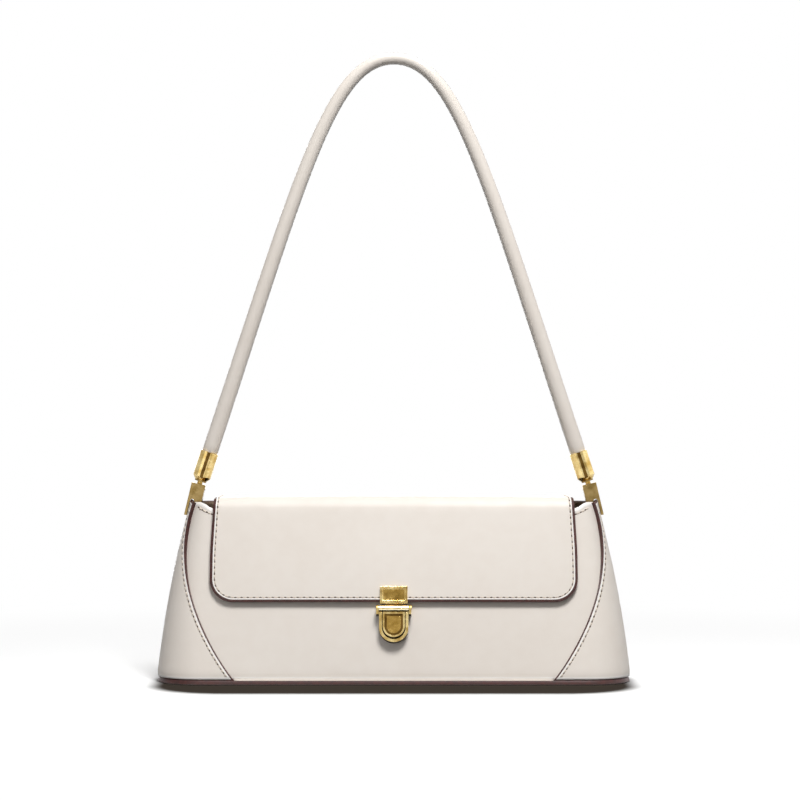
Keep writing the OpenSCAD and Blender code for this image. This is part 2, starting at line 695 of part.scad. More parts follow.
// The lug turns on the pin, and its spigot is riveted up into the strap end
// The slot leans with the clip, so the lug is narrower than the slot
lug_w = slot_w / cos(clip_lean) - 2 * lug_r * tan(clip_lean) - 2 * seat_gap;
spigot_r = 1.5;
spigot_len = 1.4;
module strap_lug(side) color(antique_brass) difference() {
    union() {
        at_pin(side) rotate([0, 90, 0])
            cylinder(h = lug_w, r = lug_r, center = true);
        at_strap_end(side) cylinder(h = cap_start + spigot_len, r = spigot_r);
    }
    at_pin(side) rotate([0, 90, 0])
        cylinder(h = 2 * clip_w, r = pin_r + run_gap, center = true);
}

module left_lug() strap_lug(-1);
module right_lug() strap_lug(1);

base_panel();
base_board();
front_panel();
back_panel();
left_gusset();
right_gusset();
lining();
inner_pocket();
flap_tail();
left_clip();
right_clip();
left_pin();
right_pin();
clip_screws();
lock_case();
lock_washer();
catch_pin();
catch_spring();
thumb_plate();
flap();
flap_lining();
lock_plate();
lock_tongue();
plate_rivets();
strap();
strap_core();
left_cap();
right_cap();
left_lug();
right_lug();
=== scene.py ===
import json
import math

import bpy
import numpy as np
from mathutils import Matrix, Vector, noise


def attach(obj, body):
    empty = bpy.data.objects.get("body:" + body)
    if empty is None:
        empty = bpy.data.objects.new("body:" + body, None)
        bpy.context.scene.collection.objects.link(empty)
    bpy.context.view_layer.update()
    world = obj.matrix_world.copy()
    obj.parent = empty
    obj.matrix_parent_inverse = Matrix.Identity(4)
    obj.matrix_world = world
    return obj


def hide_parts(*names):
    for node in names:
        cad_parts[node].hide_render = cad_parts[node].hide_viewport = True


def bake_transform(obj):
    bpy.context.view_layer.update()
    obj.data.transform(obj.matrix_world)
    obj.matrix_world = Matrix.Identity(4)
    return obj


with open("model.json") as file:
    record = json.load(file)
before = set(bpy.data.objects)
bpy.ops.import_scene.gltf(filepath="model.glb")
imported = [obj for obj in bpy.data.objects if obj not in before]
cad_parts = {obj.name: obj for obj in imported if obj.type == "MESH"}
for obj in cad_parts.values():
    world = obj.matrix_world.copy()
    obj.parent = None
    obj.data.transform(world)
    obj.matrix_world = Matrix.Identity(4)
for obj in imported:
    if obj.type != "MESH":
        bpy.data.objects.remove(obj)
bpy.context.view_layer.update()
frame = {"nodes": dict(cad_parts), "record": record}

MM = 0.001

# The camera stands level in front of the bag, a metre and a half from its front
# edge, and sees it as the photograph does: 0.557 mm a pixel at the front.
CAMERA_X = 3.5 * MM
CAMERA_Z = 159 * MM
CAMERA_AWAY = 1.5
FRONT_Y = -43 * MM
MM_PER_PIXEL = 0.557
FRAME_PIXELS = 800
SENSOR = 36.0

camera = bpy.data.objects.new("camera", bpy.data.cameras.new("camera"))
bpy.context.scene.collection.objects.link(camera)
camera.data.sensor_width = SENSOR
camera.data.lens = SENSOR * CAMERA_AWAY / (MM_PER_PIXEL * FRAME_PIXELS * MM)
camera.location = (CAMERA_X, FRONT_Y - CAMERA_AWAY, CAMERA_Z)
camera.rotation_euler = (math.pi / 2, 0, 0)
bpy.context.scene.camera = camera
bpy.context.scene.view_settings.view_transform = "Standard"


# Shader sums are written as sums. A Value wraps one socket of a material, and the
# Finish that it belongs to makes every other kind of node.
class Value:
    def __init__(self, finish, socket):
        self.finish = finish
        self.socket = socket

    def _with(self, operation, other, swapped=False):
        pair = (other, self) if swapped else (self, other)
        return self.finish.node("Math", {"operation": operation}, pair)

    def __add__(self, other):
        return self._with("ADD", other)

    def __radd__(self, other):
        return self._with("ADD", other, True)

    def __sub__(self, other):
        return self._with("SUBTRACT", other)

    def __rsub__(self, other):
        return self._with("SUBTRACT", other, True)

    def __mul__(self, other):
        return self._with("MULTIPLY", other)

    def __rmul__(self, other):
        return self._with("MULTIPLY", other, True)


class Finish:
    def __init__(self, name):
        self.material = bpy.data.materials.new(name)
        self.material.use_nodes = True
        self.tree = self.material.node_tree
        self.shader = self.tree.nodes["Principled BSDF"]
        self.output = self.tree.nodes["Material Output"]

    def node(self, kind, settings=None, inputs=None, out=0):
        made = self.tree.nodes.new("ShaderNode" + kind)
        for key, setting in (settings or {}).items():
            setattr(made, key, setting)
        named = inputs.items() if isinstance(inputs, dict) else enumerate(inputs or ())
        for key, given in named:
            self.feed(made.inputs[key], given)
        return Value(self, made.outputs[out])

    def feed(self, socket, given):
        if isinstance(given, Value):
            self.tree.links.new(given.socket, socket)
        elif socket.type == "RGBA":
            socket.default_value = (*given, 1)
        else:
            socket.default_value = given

    def set(self, **values):
        for key, given in values.items():
            self.feed(self.shader.inputs[key.replace("_", " ")], given)

    def place(self):
        return self.node("TexCoord", out=3)

    def noise(self, size, detail=3.0, rough=0.5):
        wanted = {"Vector": self.place(), "Scale": 1 / size, "Detail": detail,
                  "Roughness": rough}
        return self.node("TexNoise", None, wanted)

    def mix(self, share, low, high):
        return self.node("Mix", {"data_type": "RGBA"}, {0: share, 6: low, 7: high}, out=2)

    def band(self, value, low, high):
        wanted = {"Value": value, "From Min": low, "From Max": high}
        return self.node("MapRange", {"interpolation_type": "SMOOTHSTEP"}, wanted)

    def bump(self, height, strength, distance):
        return self.node("Bump", None, {"Strength": strength, "Distance": distance,
                                        "Height": height})


def srgb(red, green, blue):
    return tuple(((c / 255 + 0.055) / 1.055) ** 2.4 if c > 10 else c / 3294.6
                 for c in (red, green, blue))


# The floor and the sky are white to the camera. The bag is lit by a soft lamp overhead
# and a little to the front, by a weak one in front on the left, by a strong, wide one
# low behind, and by a sky that is dim low down. What the metal mirrors is a bright
# band low down, a darker one above it, a bright ceiling and a glow on the right.
SKY_LOW = 0.1
SKY_HIGH = 0.27
SKY_RISE = (0.0, 0.8)
WALL = 0.26
WINDOW = 0.5
WINDOW_FOOT = (-0.05, 0.06)
WINDOW_HEAD = (0.36, 0.46)
CEILING = 0.9
CEILING_EDGE = (0.55, 0.8)
SIDE_GLOW = 0.6
SIDE_EDGE = (0.25, 0.7)
LAMPS = [("key", (0.2, -0.76, 1.44), 0.5, 24.0), ("fill", (-0.7, -2.2, 0.6), 1.2, 5.0),
         ("rim", (-0.3, 1.9, 0.5), 1.2, 22.0)]
LAMP_AIM = (0, 0, 0.1)

world = bpy.data.worlds.new("sky")
bpy.context.scene.world = world
world.use_nodes = True
sky_tree = world.node_tree
background = sky_tree.nodes["Background"]


def sky_node(kind, settings=None, inputs=None):
    made = sky_tree.nodes.new("ShaderNode" + kind)
    for key, setting in (settings or {}).items():
        setattr(made, key, setting)
    for key, given in (inputs or {}).items():
        if hasattr(given, "is_linked"):
            sky_tree.links.new(given, made.inputs[key])
        else:
            made.inputs[key].default_value = given
    return made


sky_rays = sky_node("LightPath").outputs
look = sky_node("SeparateXYZ", None, {"Vector": sky_node("TexCoord").outputs["Generated"]})


def sky_band(axis, edge, start, end):
    return sky_node("MapRange", {"interpolation_type": "SMOOTHSTEP"},
                    {"Value": look.outputs[axis], "From Min": edge[0], "From Max": edge[1],
                     "To Min": start, "To Max": end}).outputs[0]


def sky_sum(first, second):
    return sky_node("Math", {"operation": "ADD"}, {0: first, 1: second}).outputs[0]


mirrored = sky_sum(sky_band("Z", WINDOW_FOOT, WALL, WALL + WINDOW),
                   sky_band("Z", WINDOW_HEAD, 0.0, -WINDOW))
mirrored = sky_sum(mirrored, sky_band("Z", CEILING_EDGE, 0.0, CEILING))
mirrored = sky_sum(mirrored, sky_band("X", SIDE_EDGE, 0.0, SIDE_GLOW))
lit = sky_node("Mix", None, {0: sky_rays["Is Glossy Ray"], 3: mirrored,
                             2: sky_band("Z", SKY_RISE, SKY_LOW, SKY_HIGH)})
seen = sky_node("Mix", None, {0: sky_rays["Is Camera Ray"], 2: lit.outputs[0], 3: 1.0})
sky_tree.links.new(seen.outputs[0], background.inputs["Strength"])
background.inputs["Color"].default_value = (1, 1, 1, 1)

for lamp_name, lamp_at, lamp_size, lamp_power in LAMPS:
    lamp = bpy.data.objects.new(lamp_name, bpy.data.lights.new(lamp_name, "AREA"))
    bpy.context.scene.collection.objects.link(lamp)
    lamp.data.size = lamp_size
    lamp.data.energy = lamp_power
    lamp.location = lamp_at
    aim = Vector(LAMP_AIM) - Vector(lamp_at)
    lamp.rotation_euler = aim.to_track_quat("-Z", "Y").to_euler()

# Away from the bag the floor turns into plain white, as the sky is. What it throws
# back on to the bag is less than a white floor would. A band of it along the bag's
# front is painted dark, a painted contact shadow: there the photographed floor has a
# deep contact shadow.
FLOOR_R = 6.0
FLOOR_NEAR = 0.22
FLOOR_FAR = 0.6
FLOOR_WHITE = (0.95, 0.95, 0.95)
FLOOR_BOUNCE = (0.14, 0.14, 0.14)
# The oblong of painted contact shadow round the bag's foot: its half sizes, its middle, its
# corners, its soft edge and its dark colour.
CONTACT_HALF = (134 * MM, 57 * MM)
CONTACT_FRONT = -30 * MM
CONTACT_CORNER = 42 * MM
CONTACT_SOFT = 6 * MM
CONTACT_SHADOW_PAINT = (0.045, 0.037, 0.03)
floor_finish = Finish("floor_white_with_painted_shadow")
to_camera = floor_finish.node("LightPath")
to_mirror = floor_finish.node("LightPath", out=3)
beyond = []
for out, middle, half in ((0, 0.0, CONTACT_HALF[0]), (1, CONTACT_FRONT, CONTACT_HALF[1])):
    along = floor_finish.node("SeparateXYZ", None, [floor_finish.place()], out=out)
    along = floor_finish.node("Math", {"operation": "ABSOLUTE"}, [along - middle])
    beyond.append(floor_finish.node("Math", {"operation": "MAXIMUM"},
                                    [along - (half - CONTACT_CORNER), 0.0]))
off_bag = floor_finish.node("Math", {"operation": "SQRT"},
                            [beyond[0] * beyond[0] + beyond[1] * beyond[1]])
painted_contact_shadow = floor_finish.band(off_bag, CONTACT_CORNER - CONTACT_SOFT,
                            CONTACT_CORNER + CONTACT_SOFT)
# The floor's white, with the painted contact shadow mixed into it
floor_white_with_painted_shadow = floor_finish.mix(painted_contact_shadow, CONTACT_SHADOW_PAINT, FLOOR_WHITE)
floor_finish.set(Roughness=0.9, Specular_IOR_Level=0.0)
floor_finish.set(Base_Color=floor_finish.mix(to_camera + to_mirror, FLOOR_BOUNCE,
                                             floor_white_with_painted_shadow))
from_middle = floor_finish.node("VectorMath", {"operation": "LENGTH"},
                                [floor_finish.place()], out=1)
white_share = floor_finish.band(from_middle, FLOOR_NEAR, FLOOR_FAR)
plain_white = floor_finish.node("Emission", None, {"Color": (1, 1, 1), "Strength": 1.0})
floor_all = floor_finish.node("MixShader", None, {
    0: white_share * to_camera, 1: Value(floor_finish, floor_finish.shader.outputs[0]),
    2: plain_white})
floor_finish.tree.links.new(floor_all.socket, floor_finish.output.inputs["Surface"])

bpy.ops.object.select_all(action="DESELECT")
bpy.ops.mesh.primitive_circle_add(vertices=64, radius=FLOOR_R, fill_type="NGON")
floor = bpy.context.object
floor.name = "floor"
floor.data.materials.append(floor_finish.material)


# The body's sections, from the base to the mouth, are rounded oblongs. A place on
# one is given by its height and by how far along the outline it lies.
BASE_W = 269 * MM
BASE_D = 86 * MM
BODY_H = 101 * MM
MOUTH_W = 233 * MM
MOUTH_D = 30 * MM
BASE_CORNER = 26 * MM
MOUTH_CORNER = 12.5 * MM
SIDE_BELLY = 2 * MM
PANEL_SWELL = 1.2 * MM


def mix(low, high, share):
    return low + (high - low) * share


def side_half(z):
    return mix(BASE_W, MOUTH_W, z / BODY_H) / 2 + SIDE_BELLY * math.sin(math.pi * z / BODY_H)


def depth_half(z):
    return mix(BASE_D, MOUTH_D, z / BODY_H) / 2


def corner_r(z):
    return mix(BASE_CORNER, MOUTH_CORNER, z / BODY_H)


def flat_half(z):
    return side_half(z) - corner_r(z)


def end_along(z):
    return flat_half(z) + corner_r(z) * math.pi / 2 + depth_half(z) - corner_r(z)


def swell(x, z):
    return PANEL_SWELL * math.sin(math.pi * z / BODY_H) * max(0, 1 - (x / flat_half(z)) ** 2)


# The leather is drawn in where it meets the base
TUCK = 2.3 * MM
TUCK_HIGH = 7 * MM


def tuck(z):
    return TUCK * max(0, 1 - z / TUCK_HIGH) ** 2


# From the middle of the front (or back) round to the middle of the end
def wall(along, z, inset):
    inset = inset + tuck(z)
    flat, r = flat_half(z), corner_r(z)
    past = along - flat
    turn = past / r
    if past <= 0:
        return along, depth_half(z) - inset + swell(along, z)
    if turn <= math.pi / 2:
        return (flat + (r - inset) * math.sin(turn),
                depth_half(z) - r + (r - inset) * math.cos(turn))
    return flat + r - inset, depth_half(z) - r - (past - r * math.pi / 2)


# Every leather piece is cut flat as one outline, skived and creased near its rim,
# then bent to its place and given its thickness. The rim is painted.
CELL = 3.2 * MM
GROOVE_AT = 2.6 * MM
GROOVE_WIDE = 0.7 * MM
GROOVE_DEEP = 0.07 * MM
ROLL_AT = 1.7 * MM
ROLL_WIDE = 0.5 * MM
ROLL_HIGH = 0.10 * MM
RIM_WIDE = 1.5 * MM
RIM_DROP = 0.38 * MM
RIPPLE_SIZE = 28 * MM
RIPPLE_FADE = 8 * MM
PAINT_WIDE = 0.95 * MM
PAINT_FINE = 0.72 * MM

cream = srgb(238, 230, 221)
cream_deep = srgb(224, 212, 200)
# A near-white cream, painted along the leather's rims as a highlight
cream_painted_highlight = srgb(252, 249, 245)
edge_paint = srgb(76, 36, 31)
thread_cream = srgb(226, 214, 200)


def leather_finish(name, tone, deep, grain=1.0):
    f = Finish(name)
    rim = f.node("Attribute", {"attribute_name": "rim"}, out=2)
    cloud = f.noise(55 * MM, 3.0)
    mottle = f.noise(7 * MM, 4.0)
    pores = f.node("TexVoronoi", {"feature": "SMOOTH_F1"},
                   {"Vector": f.place(), "Scale": 1 / (0.75 * MM), "Smoothness": 0.35})
    creases = f.noise(1.6 * MM, 5.0, 0.6)
    shade = f.band(cloud, 0.32, 0.68) * 0.16 + f.band(mottle, 0.3, 0.7) * 0.12
    near_rim = 1 - f.band(rim, 0.4 * MM, 3.4 * MM)
    # Between the painted edge and the seam, the leather is painted paler: a painted highlight
    # along the rolled rim.
    rim_painted_highlight = 1 - f.band(rim, 1.7 * MM, 2.5 * MM)
    f.set(Base_Color=f.mix(rim_painted_highlight * 0.8, f.mix(shade, tone, deep), cream_painted_highlight))
    f.set(Roughness=0.44 + f.band(mottle, 0.3, 0.7) * 0.08 - near_rim * 0.06)
    height = pores * 0.6 + creases * 0.7
    f.set(Normal=f.bump(height, 0.12 * grain, 0.1 * MM))
    f.set(Specular_IOR_Level=0.4, Sheen_Weight=0.05, Sheen_Roughness=0.5)
    return f.material


def paint_finish():
    f = Finish("painted_edge")
    wobble = f.noise(2.2 * MM, 3.0)
    f.set(Base_Color=f.mix(f.band(wobble, 0.3, 0.7), edge_paint, srgb(56, 26, 23)))
    f.set(Roughness=0.34 + wobble * 0.12)
    f.set(Normal=f.bump(wobble, 0.25, 0.15 * MM))
    return f.material


cream_leather = leather_finish("cream_leather", cream, cream_deep)
painted_edge = paint_finish()


def only(piece):
    bpy.ops.object.select_all(action="DESELECT")
    piece.select_set(True)
    bpy.context.view_layer.objects.active = piece


def apply_modifier(piece, kind, **settings):
    only(piece)
    modifier = piece.modifiers.new(kind.lower(), kind)
    for key, setting in settings.items():
        setattr(modifier, key, setting)
    bpy.ops.object.modifier_apply(modifier=modifier.name)


def slice_flat(piece, axis, low, high, step):
    only(piece)
    bpy.ops.object.mode_set(mode="EDIT")
    count = max(2, round((high - low) / step))
    for i in range(1, count):
        at = mix(low, high, i / count)
        bpy.ops.mesh.select_all(action="SELECT")
        across = (at, 0, 0) if axis == 0 else (0, at, 0)
        normal = (1, 0, 0) if axis == 0 else (0, 1, 0)
        bpy.ops.mesh.bisect(plane_co=across, plane_no=normal)
    bpy.ops.object.mode_set(mode="OBJECT")


def rim_distance(points, outline):
    starts = np.array(outline)
    runs = np.roll(starts, -1, axis=0) - starts
    lengths = (runs ** 2).sum(1)
    found = np.full(len(points), 1.0)
    for start, run, length in zip(starts, runs, lengths):
        if length < 1e-14:
            continue
        share = np.clip(((points - start) @ run) / length, 0, 1)
        found = np.minimum(found, np.hypot(*(points - start - share[:, None] * run).T))
    return found


def rim_height(distance):
    groove = math.exp(-((distance - GROOVE_AT) / GROOVE_WIDE) ** 2)
    roll = math.exp(-((distance - ROLL_AT) / ROLL_WIDE) ** 2)
    edge = max(0, 1 - distance / RIM_WIDE) ** 2
    return ROLL_HIGH * roll - GROOVE_DEEP * groove - RIM_DROP * edge


def ripple(place, size, depth):
    return depth * noise.noise(place / size)


PROBE = 0.05 * MM


def surface_axes(bend, a, b):
    return (Vector(bend(a + PROBE, b)) - Vector(bend(a - PROBE, b)),
            Vector(bend(a, b + PROBE)) - Vector(bend(a, b - PROBE)))


def bend_sheet(piece, flat, rim, bend, ripple_depth):
    for vertex, (a, b), distance in zip(piece.data.vertices, flat, rim):
        here = Vector(bend(a, b))
        across, up = surface_axes(bend, a, b)
        lift = rim_height(distance)
        if ripple_depth:
            lift += ripple(here, RIPPLE_SIZE, ripple_depth) * min(1, distance / RIPPLE_FADE)
        vertex.co = here + across.cross(up).normalized() * lift
    attribute = piece.data.attributes.new("rim", "FLOAT", "POINT")
    attribute.data.foreach_set("value", rim.astype(np.float32))


def finish_leather(piece, thickness, materials, paint, lap=0.0):
    for material in materials:
        piece.data.materials.append(material)
    apply_modifier(piece, "SOLIDIFY", thickness=thickness, offset=-1, use_even_offset=False,
                   material_offset_rim=1, material_offset=2)
    rim = piece.data.attributes["rim"].data
    for face in piece.data.polygons:
        if face.material_index == 0 and max(rim[v].value for v in face.vertices) < lap:
            face.material_index = 1
    apply_modifier(piece, "BEVEL", width=paint, segments=3, limit_method="ANGLE",
                   angle_limit=math.radians(55), material=1)
    piece.data.shade_smooth()


RIM_LINES = [0, 1.0 * MM, 1.5 * MM, 1.9 * MM, 2.6 * MM, 3.3 * MM, 4.4 * MM]


def cut_leather(name, outline, bend, thickness, materials, paint, lap=0.0, step=CELL,
                ripple_depth=0.0):
    bpy.ops.object.select_all(action="DESELECT")
    bpy.ops.mesh.primitive_circle_add(vertices=len(outline), radius=1, fill_type="NGON")
    piece = bpy.context.object
    piece.name = name
    for vertex, (a, b) in zip(piece.data.vertices, outline):
        vertex.co = (a, b, 0)
    bpy.ops.object.mode_set(mode="EDIT")
    bpy.ops.mesh.select_all(action="SELECT")
    for outer, inner in zip(RIM_LINES, RIM_LINES[1:]):
        bpy.ops.mesh.inset(thickness=inner - outer, use_boundary=True)
    bpy.ops.object.mode_set(mode="OBJECT")
    spread = np.array(outline)
    for axis in (0, 1):
        slice_flat(piece, axis, spread[:, axis].min(), spread[:, axis].max(), step)
    flat = np.array([v.co[:2] for v in piece.data.vertices])
    bend_sheet(piece, flat, rim_distance(flat, outline), bend, ripple_depth)
    finish_leather(piece, thickness, materials, paint, lap)
    return piece


# A piece with four sides is ruled like a grid, close together near its rims
def ruled(low, high, i, inner):
    rims = len(RIM_LINES) - 1
    last = 2 * rims + inner
    if i <= rims:
        return low + RIM_LINES[i], RIM_LINES[i]
    if i >= last - rims:
        return high - RIM_LINES[last - i], RIM_LINES[last - i]
    margin = RIM_LINES[-1]
    place = mix(low + margin, high - margin, (i - rims) / inner)
    return place, min(place - low, high - place)


def ruled_leather(name, half_at, foot, top_at, bend, thickness, materials, paint,
                  lap=0.0, step=CELL, ripple_depth=0.0):
    across = max(4, round(2 * half_at(foot) / step))
    up = max(4, round((top_at(0) - foot) / step))
    columns, rows = across + 2 * len(RIM_LINES) - 2, up + 2 * len(RIM_LINES) - 2
    bpy.ops.object.select_all(action="DESELECT")
    bpy.ops.mesh.primitive_grid_add(x_subdivisions=columns, y_subdivisions=rows, size=2)
    piece = bpy.context.object
    piece.name = name
    flat, rim = [], []
    for vertex in piece.data.vertices:
        i = round((vertex.co.x + 1) / 2 * columns)
        j = round((vertex.co.y + 1) / 2 * rows)
        half = half_at(top_at(0))
        at_top = ruled(-half, half, i, across)[0]
        z, from_end = ruled(foot, top_at(at_top), j, up)
        along, from_side = ruled(-half_at(z), half_at(z), i, across)
        flat.append((along, z))
        rim.append(min(from_end, from_side))
    bend_sheet(piece, np.array(flat), np.array(rim), bend, ripple_depth)
    finish_leather(piece, thickness, materials, paint, lap)
    return piece


# The base: one oblong of leather with round corners, painted all round its edge,
# which shows as a dark line under the body.
BASE_T = 2.2 * MM
CORNER_STEPS = 14


def round_oblong(half_x, half_y, radius):
    points = []
    for quarter, (sx, sy) in enumerate([(1, 1), (-1, 1), (-1, -1), (1, -1)]):
        for i in range(CORNER_STEPS + 1):
            turn = math.pi / 2 * (quarter + i / CORNER_STEPS)
            points.append((sx * (half_x - radius) + radius * math.cos(turn),
                           sy * (half_y - radius) + radius * math.sin(turn)))
    return points


BASE_IN = 0.9 * MM
base_outline = round_oblong(BASE_W / 2 - BASE_IN, BASE_D / 2 - BASE_IN, BASE_CORNER - BASE_IN)
base = cut_leather("base_leather", base_outline, lambda a, b: (a, -b, 0), BASE_T,
                   [cream_leather, painted_edge, cream_leather], PAINT_WIDE, step=8 * MM)
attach(base, "shell")
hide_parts("base_panel")


# The front and back panels: each one piece, closed over at the ends by the gussets.
# The front's top edge dips under the flap.
SEAM_BASE = 87 * MM
SEAM_MOUTH = 114 * MM
SEAM_BOW = 14 * MM
SEAM_LAP = 6 * MM
FRONT_DIP = 10 * MM
GUSSET_T = 2.0 * MM
PANEL_T = 1.6 * MM
SEAT_GAP = 0.2 * MM
PANEL_IN = GUSSET_T + SEAT_GAP
CLIP_D = 9.2 * MM
CLIP_MARGIN = 1.4 * MM


def bezier(p, t):
    return ((1 - t) ** 3 * p[0] + 3 * (1 - t) ** 2 * t * p[1]
            + 3 * (1 - t) * t * t * p[2] + t ** 3 * p[3])


SEAM_X = [SEAM_BASE, mix(SEAM_BASE, SEAM_MOUTH, 0.7), SEAM_MOUTH + SEAM_BOW, SEAM_MOUTH]
SEAM_Z = [0, 0.22 * BODY_H, 0.65 * BODY_H, BODY_H]
SEAM_TABLE = [(bezier(SEAM_Z, i / 48), bezier(SEAM_X, i / 48)) for i in range(49)]


def seam_along(z):
    x = float(np.interp(z, *zip(*SEAM_TABLE)))
    flat, r = flat_half(z), corner_r(z)
    return x if x <= flat else flat + r * math.asin(min(0.98, (x - flat) / r))


def front_top(along):
    return BODY_H - FRONT_DIP * (1 - min(1, abs(along) / SEAM_MOUTH) ** 5.5)


def panel_half(z):
    reach = end_along(z) - CLIP_D / 2 - CLIP_MARGIN
    return min(seam_along(z) + SEAM_LAP, reach)


def on_panel(side, inset):
    def bend(along, z):
        x, y = wall(abs(along), z, inset)
        return -side * math.copysign(x, along), side * y, z
    return bend


BODY_LEATHER = [cream_leather, painted_edge, cream_leather]
front = ruled_leather("front_leather", panel_half, BASE_T, front_top, on_panel(-1, PANEL_IN),
                      PANEL_T, BODY_LEATHER, PAINT_FINE, ripple_depth=0.12 * MM)
back = ruled_leather("back_leather", panel_half, BASE_T, lambda along: BODY_H,
                     on_panel(1, PANEL_IN), PANEL_T, BODY_LEATHER, PAINT_FINE,
                     ripple_depth=0.12 * MM)
for panel, node in ((front, "front_panel"), (back, "back_panel")):
    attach(panel, "shell")
    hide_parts(node)


# The gussets: one piece each, wrapped round the end and laid over both panels, so
# that its painted edge shows as a dark curve down the front.
def gusset_half(z):
    return end_along(z) - seam_along(z)


def on_gusset(side, inset):
    def bend(across, z):
        x, y = wall(end_along(z) - abs(across), z, inset)
        return side * x, side * math.copysign(y, across), z
    return bend


# Its top edge stands a little higher in the middle, where the clip grips it
GRIP_LIFT = 1.3 * MM
GRIP_HALF = 8 * MM


def gusset_top(across):
    return BODY_H + GRIP_LIFT * max(0.0, 1 - (across / GRIP_HALF) ** 2)


for side, name, node in ((-1, "left_end_leather", "left_gusset"),
                         (1, "right_end_leather", "right_gusset")):
    gusset = ruled_leather(name, gusset_half, BASE_T, gusset_top,
                           on_gusset(side, 0), GUSSET_T, BODY_LEATHER, PAINT_WIDE,
                           lap=1.1 * MM, ripple_depth=0.12 * MM)
    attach(gusset, "shell")
    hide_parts(node)


# The seams: a waxed thread in short stitches, each going down into a needle hole.
# Each hole is a flat dark oval on the leather: painted shade.
STITCH_PITCH = 3.5 * MM
STITCH_LONG = 2.5 * MM
THREAD_R = 0.4 * MM
HOLE_LONG = 0.85 * MM
HOLE_WIDE = 0.42 * MM
HOLE_LIFT = 0.05 * MM
HOLE_SIDES = 8

thread_finish = Finish("waxed_thread")
strands = thread_finish.noise(0.5 * MM, 2.0)
thread_finish.set(Base_Color=thread_finish.mix(strands, thread_cream, srgb(205, 190, 173)))
thread_finish.set(Roughness=0.55 + strands * 0.15)
thread_finish.set(Normal=thread_finish.bump(strands, 0.5, 0.1 * MM))
# Dark brown for the needle holes: painted shade, where a hole would be dark.
hole_shade_finish = Finish("needle_hole_painted_shade")
shadow = hole_shade_finish.noise(1 * MM, 2.0)
hole_shade_finish.set(Base_Color=hole_shade_finish.mix(shadow, srgb(96, 76, 62), srgb(70, 54, 44)))
hole_shade_finish.set(Roughness=0.8 + shadow * 0.1)

bpy.ops.object.select_all(action="DESELECT")
bpy.ops.mesh.primitive_uv_sphere_add(segments=8, ring_count=6, radius=THREAD_R)
one_stitch = bpy.context.object
for vertex in one_stitch.data.vertices:
    along = vertex.co.x / THREAD_R
    vertex.co.x = along * STITCH_LONG / 2
    vertex.co.z = vertex.co.z * 0.8 - THREAD_R * 0.8 * along * along + THREAD_R * 0.3
stitch_points = [v.co.copy() for v in one_stitch.data.vertices]
stitch_faces = [tuple(p.vertices) for p in one_stitch.data.polygons]
bpy.data.objects.remove(one_stitch)


def step_along(route, pitch, closed):
    points = np.array(route + [route[0]] if closed else route)
    lengths = np.concatenate([[0], np.cumsum(np.hypot(*np.diff(points, axis=0).T))])
    count = max(2, round(lengths[-1] / pitch))
    marks = np.linspace(0, lengths[-1], count + 1)
    return np.array([np.interp(marks, lengths, points[:, k]) for k in (0, 1)]).T


def surface_frame(bend, a, b, da, db, lift):
    here = Vector(bend(a, b))
    across, up = surface_axes(bend, a, b)
    normal = across.cross(up).normalized()
    along = (across * da + up * db).normalized()
    side = normal.cross(along).normalized()
    return Matrix((along, side, normal)).transposed(), here + normal * lift


def sew(name, route, bend, closed=False, pitch=STITCH_PITCH, shift=None):
    placed = step_along(route, pitch, closed)
    points, faces, slots = [], [], []
    groove = rim_height(GROOVE_AT) if shift is None else shift
    for (a0, b0), (a1, b1) in zip(placed, placed[1:]):
        middle = (a0 + a1) / 2, (b0 + b1) / 2
        run = a1 - a0, b1 - b0
        turn, here = surface_frame(bend, *middle, *run, groove)
        start = len(points)
        points += [here + turn @ p for p in stitch_points]
        faces += [tuple(start + i for i in face) for face in stitch_faces]
        slots += [0] * len(stitch_faces)
        # The hole: a flat oval of painted shade
        turn, here = surface_frame(bend, a0, b0, *run, groove + HOLE_LIFT)
        start = len(points)
        for k in range(HOLE_SIDES):
            angle = k * 2 * math.pi / HOLE_SIDES
            points.append(here + turn @ Vector((HOLE_LONG * math.cos(angle),
                                                HOLE_WIDE * math.sin(angle), 0)))
        faces.append(tuple(range(start, start + HOLE_SIDES)))
        slots.append(1)
    mesh = bpy.data.meshes.new(name)
    mesh.from_pydata(points, [], faces)
    mesh.materials.append(thread_finish.material)
    mesh.materials.append(hole_shade_finish.material)
    mesh.polygons.foreach_set("material_index", slots)
    mesh.shade_smooth()
    made = bpy.data.objects.new(name, mesh)
    bpy.context.scene.collection.objects.link(made)
    return made


SEAM_ROWS = 40
SEAM_LOW = BASE_T + 2 * MM
SEAM_HIGH = BODY_H - 3 * MM
EDGE_REACH = SEAM_MOUTH - 1 * MM
EDGE_STEPS = 80
heights = [mix(SEAM_LOW, SEAM_HIGH, i / SEAM_ROWS) for i in range(SEAM_ROWS + 1)]
for side, name in ((-1, "left_seam_thread"), (1, "right_seam_thread")):
    for face, face_name in ((-1, "front"), (1, "back")):
        toward = side * face
        route = [(toward * (gusset_half(z) - GROOVE_AT), z) for z in heights]
        seam = sew(f"{name}_{face_name}", route, on_gusset(side, 0))
        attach(seam, "shell")

edge_places = [mix(-EDGE_REACH, EDGE_REACH, i / EDGE_STEPS) for i in range(EDGE_STEPS + 1)]
route = [(along, front_top(along) - GROOVE_AT) for along in edge_places]
front_hem = sew("front_edge_thread", route, on_panel(-1, PANEL_IN))
route = [(along, BODY_H - GROOVE_AT) for along in edge_places]
back_hem = sew("back_edge_thread", route, on_panel(1, PANEL_IN))
for hem in (front_hem, back_hem):
    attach(hem, "shell")


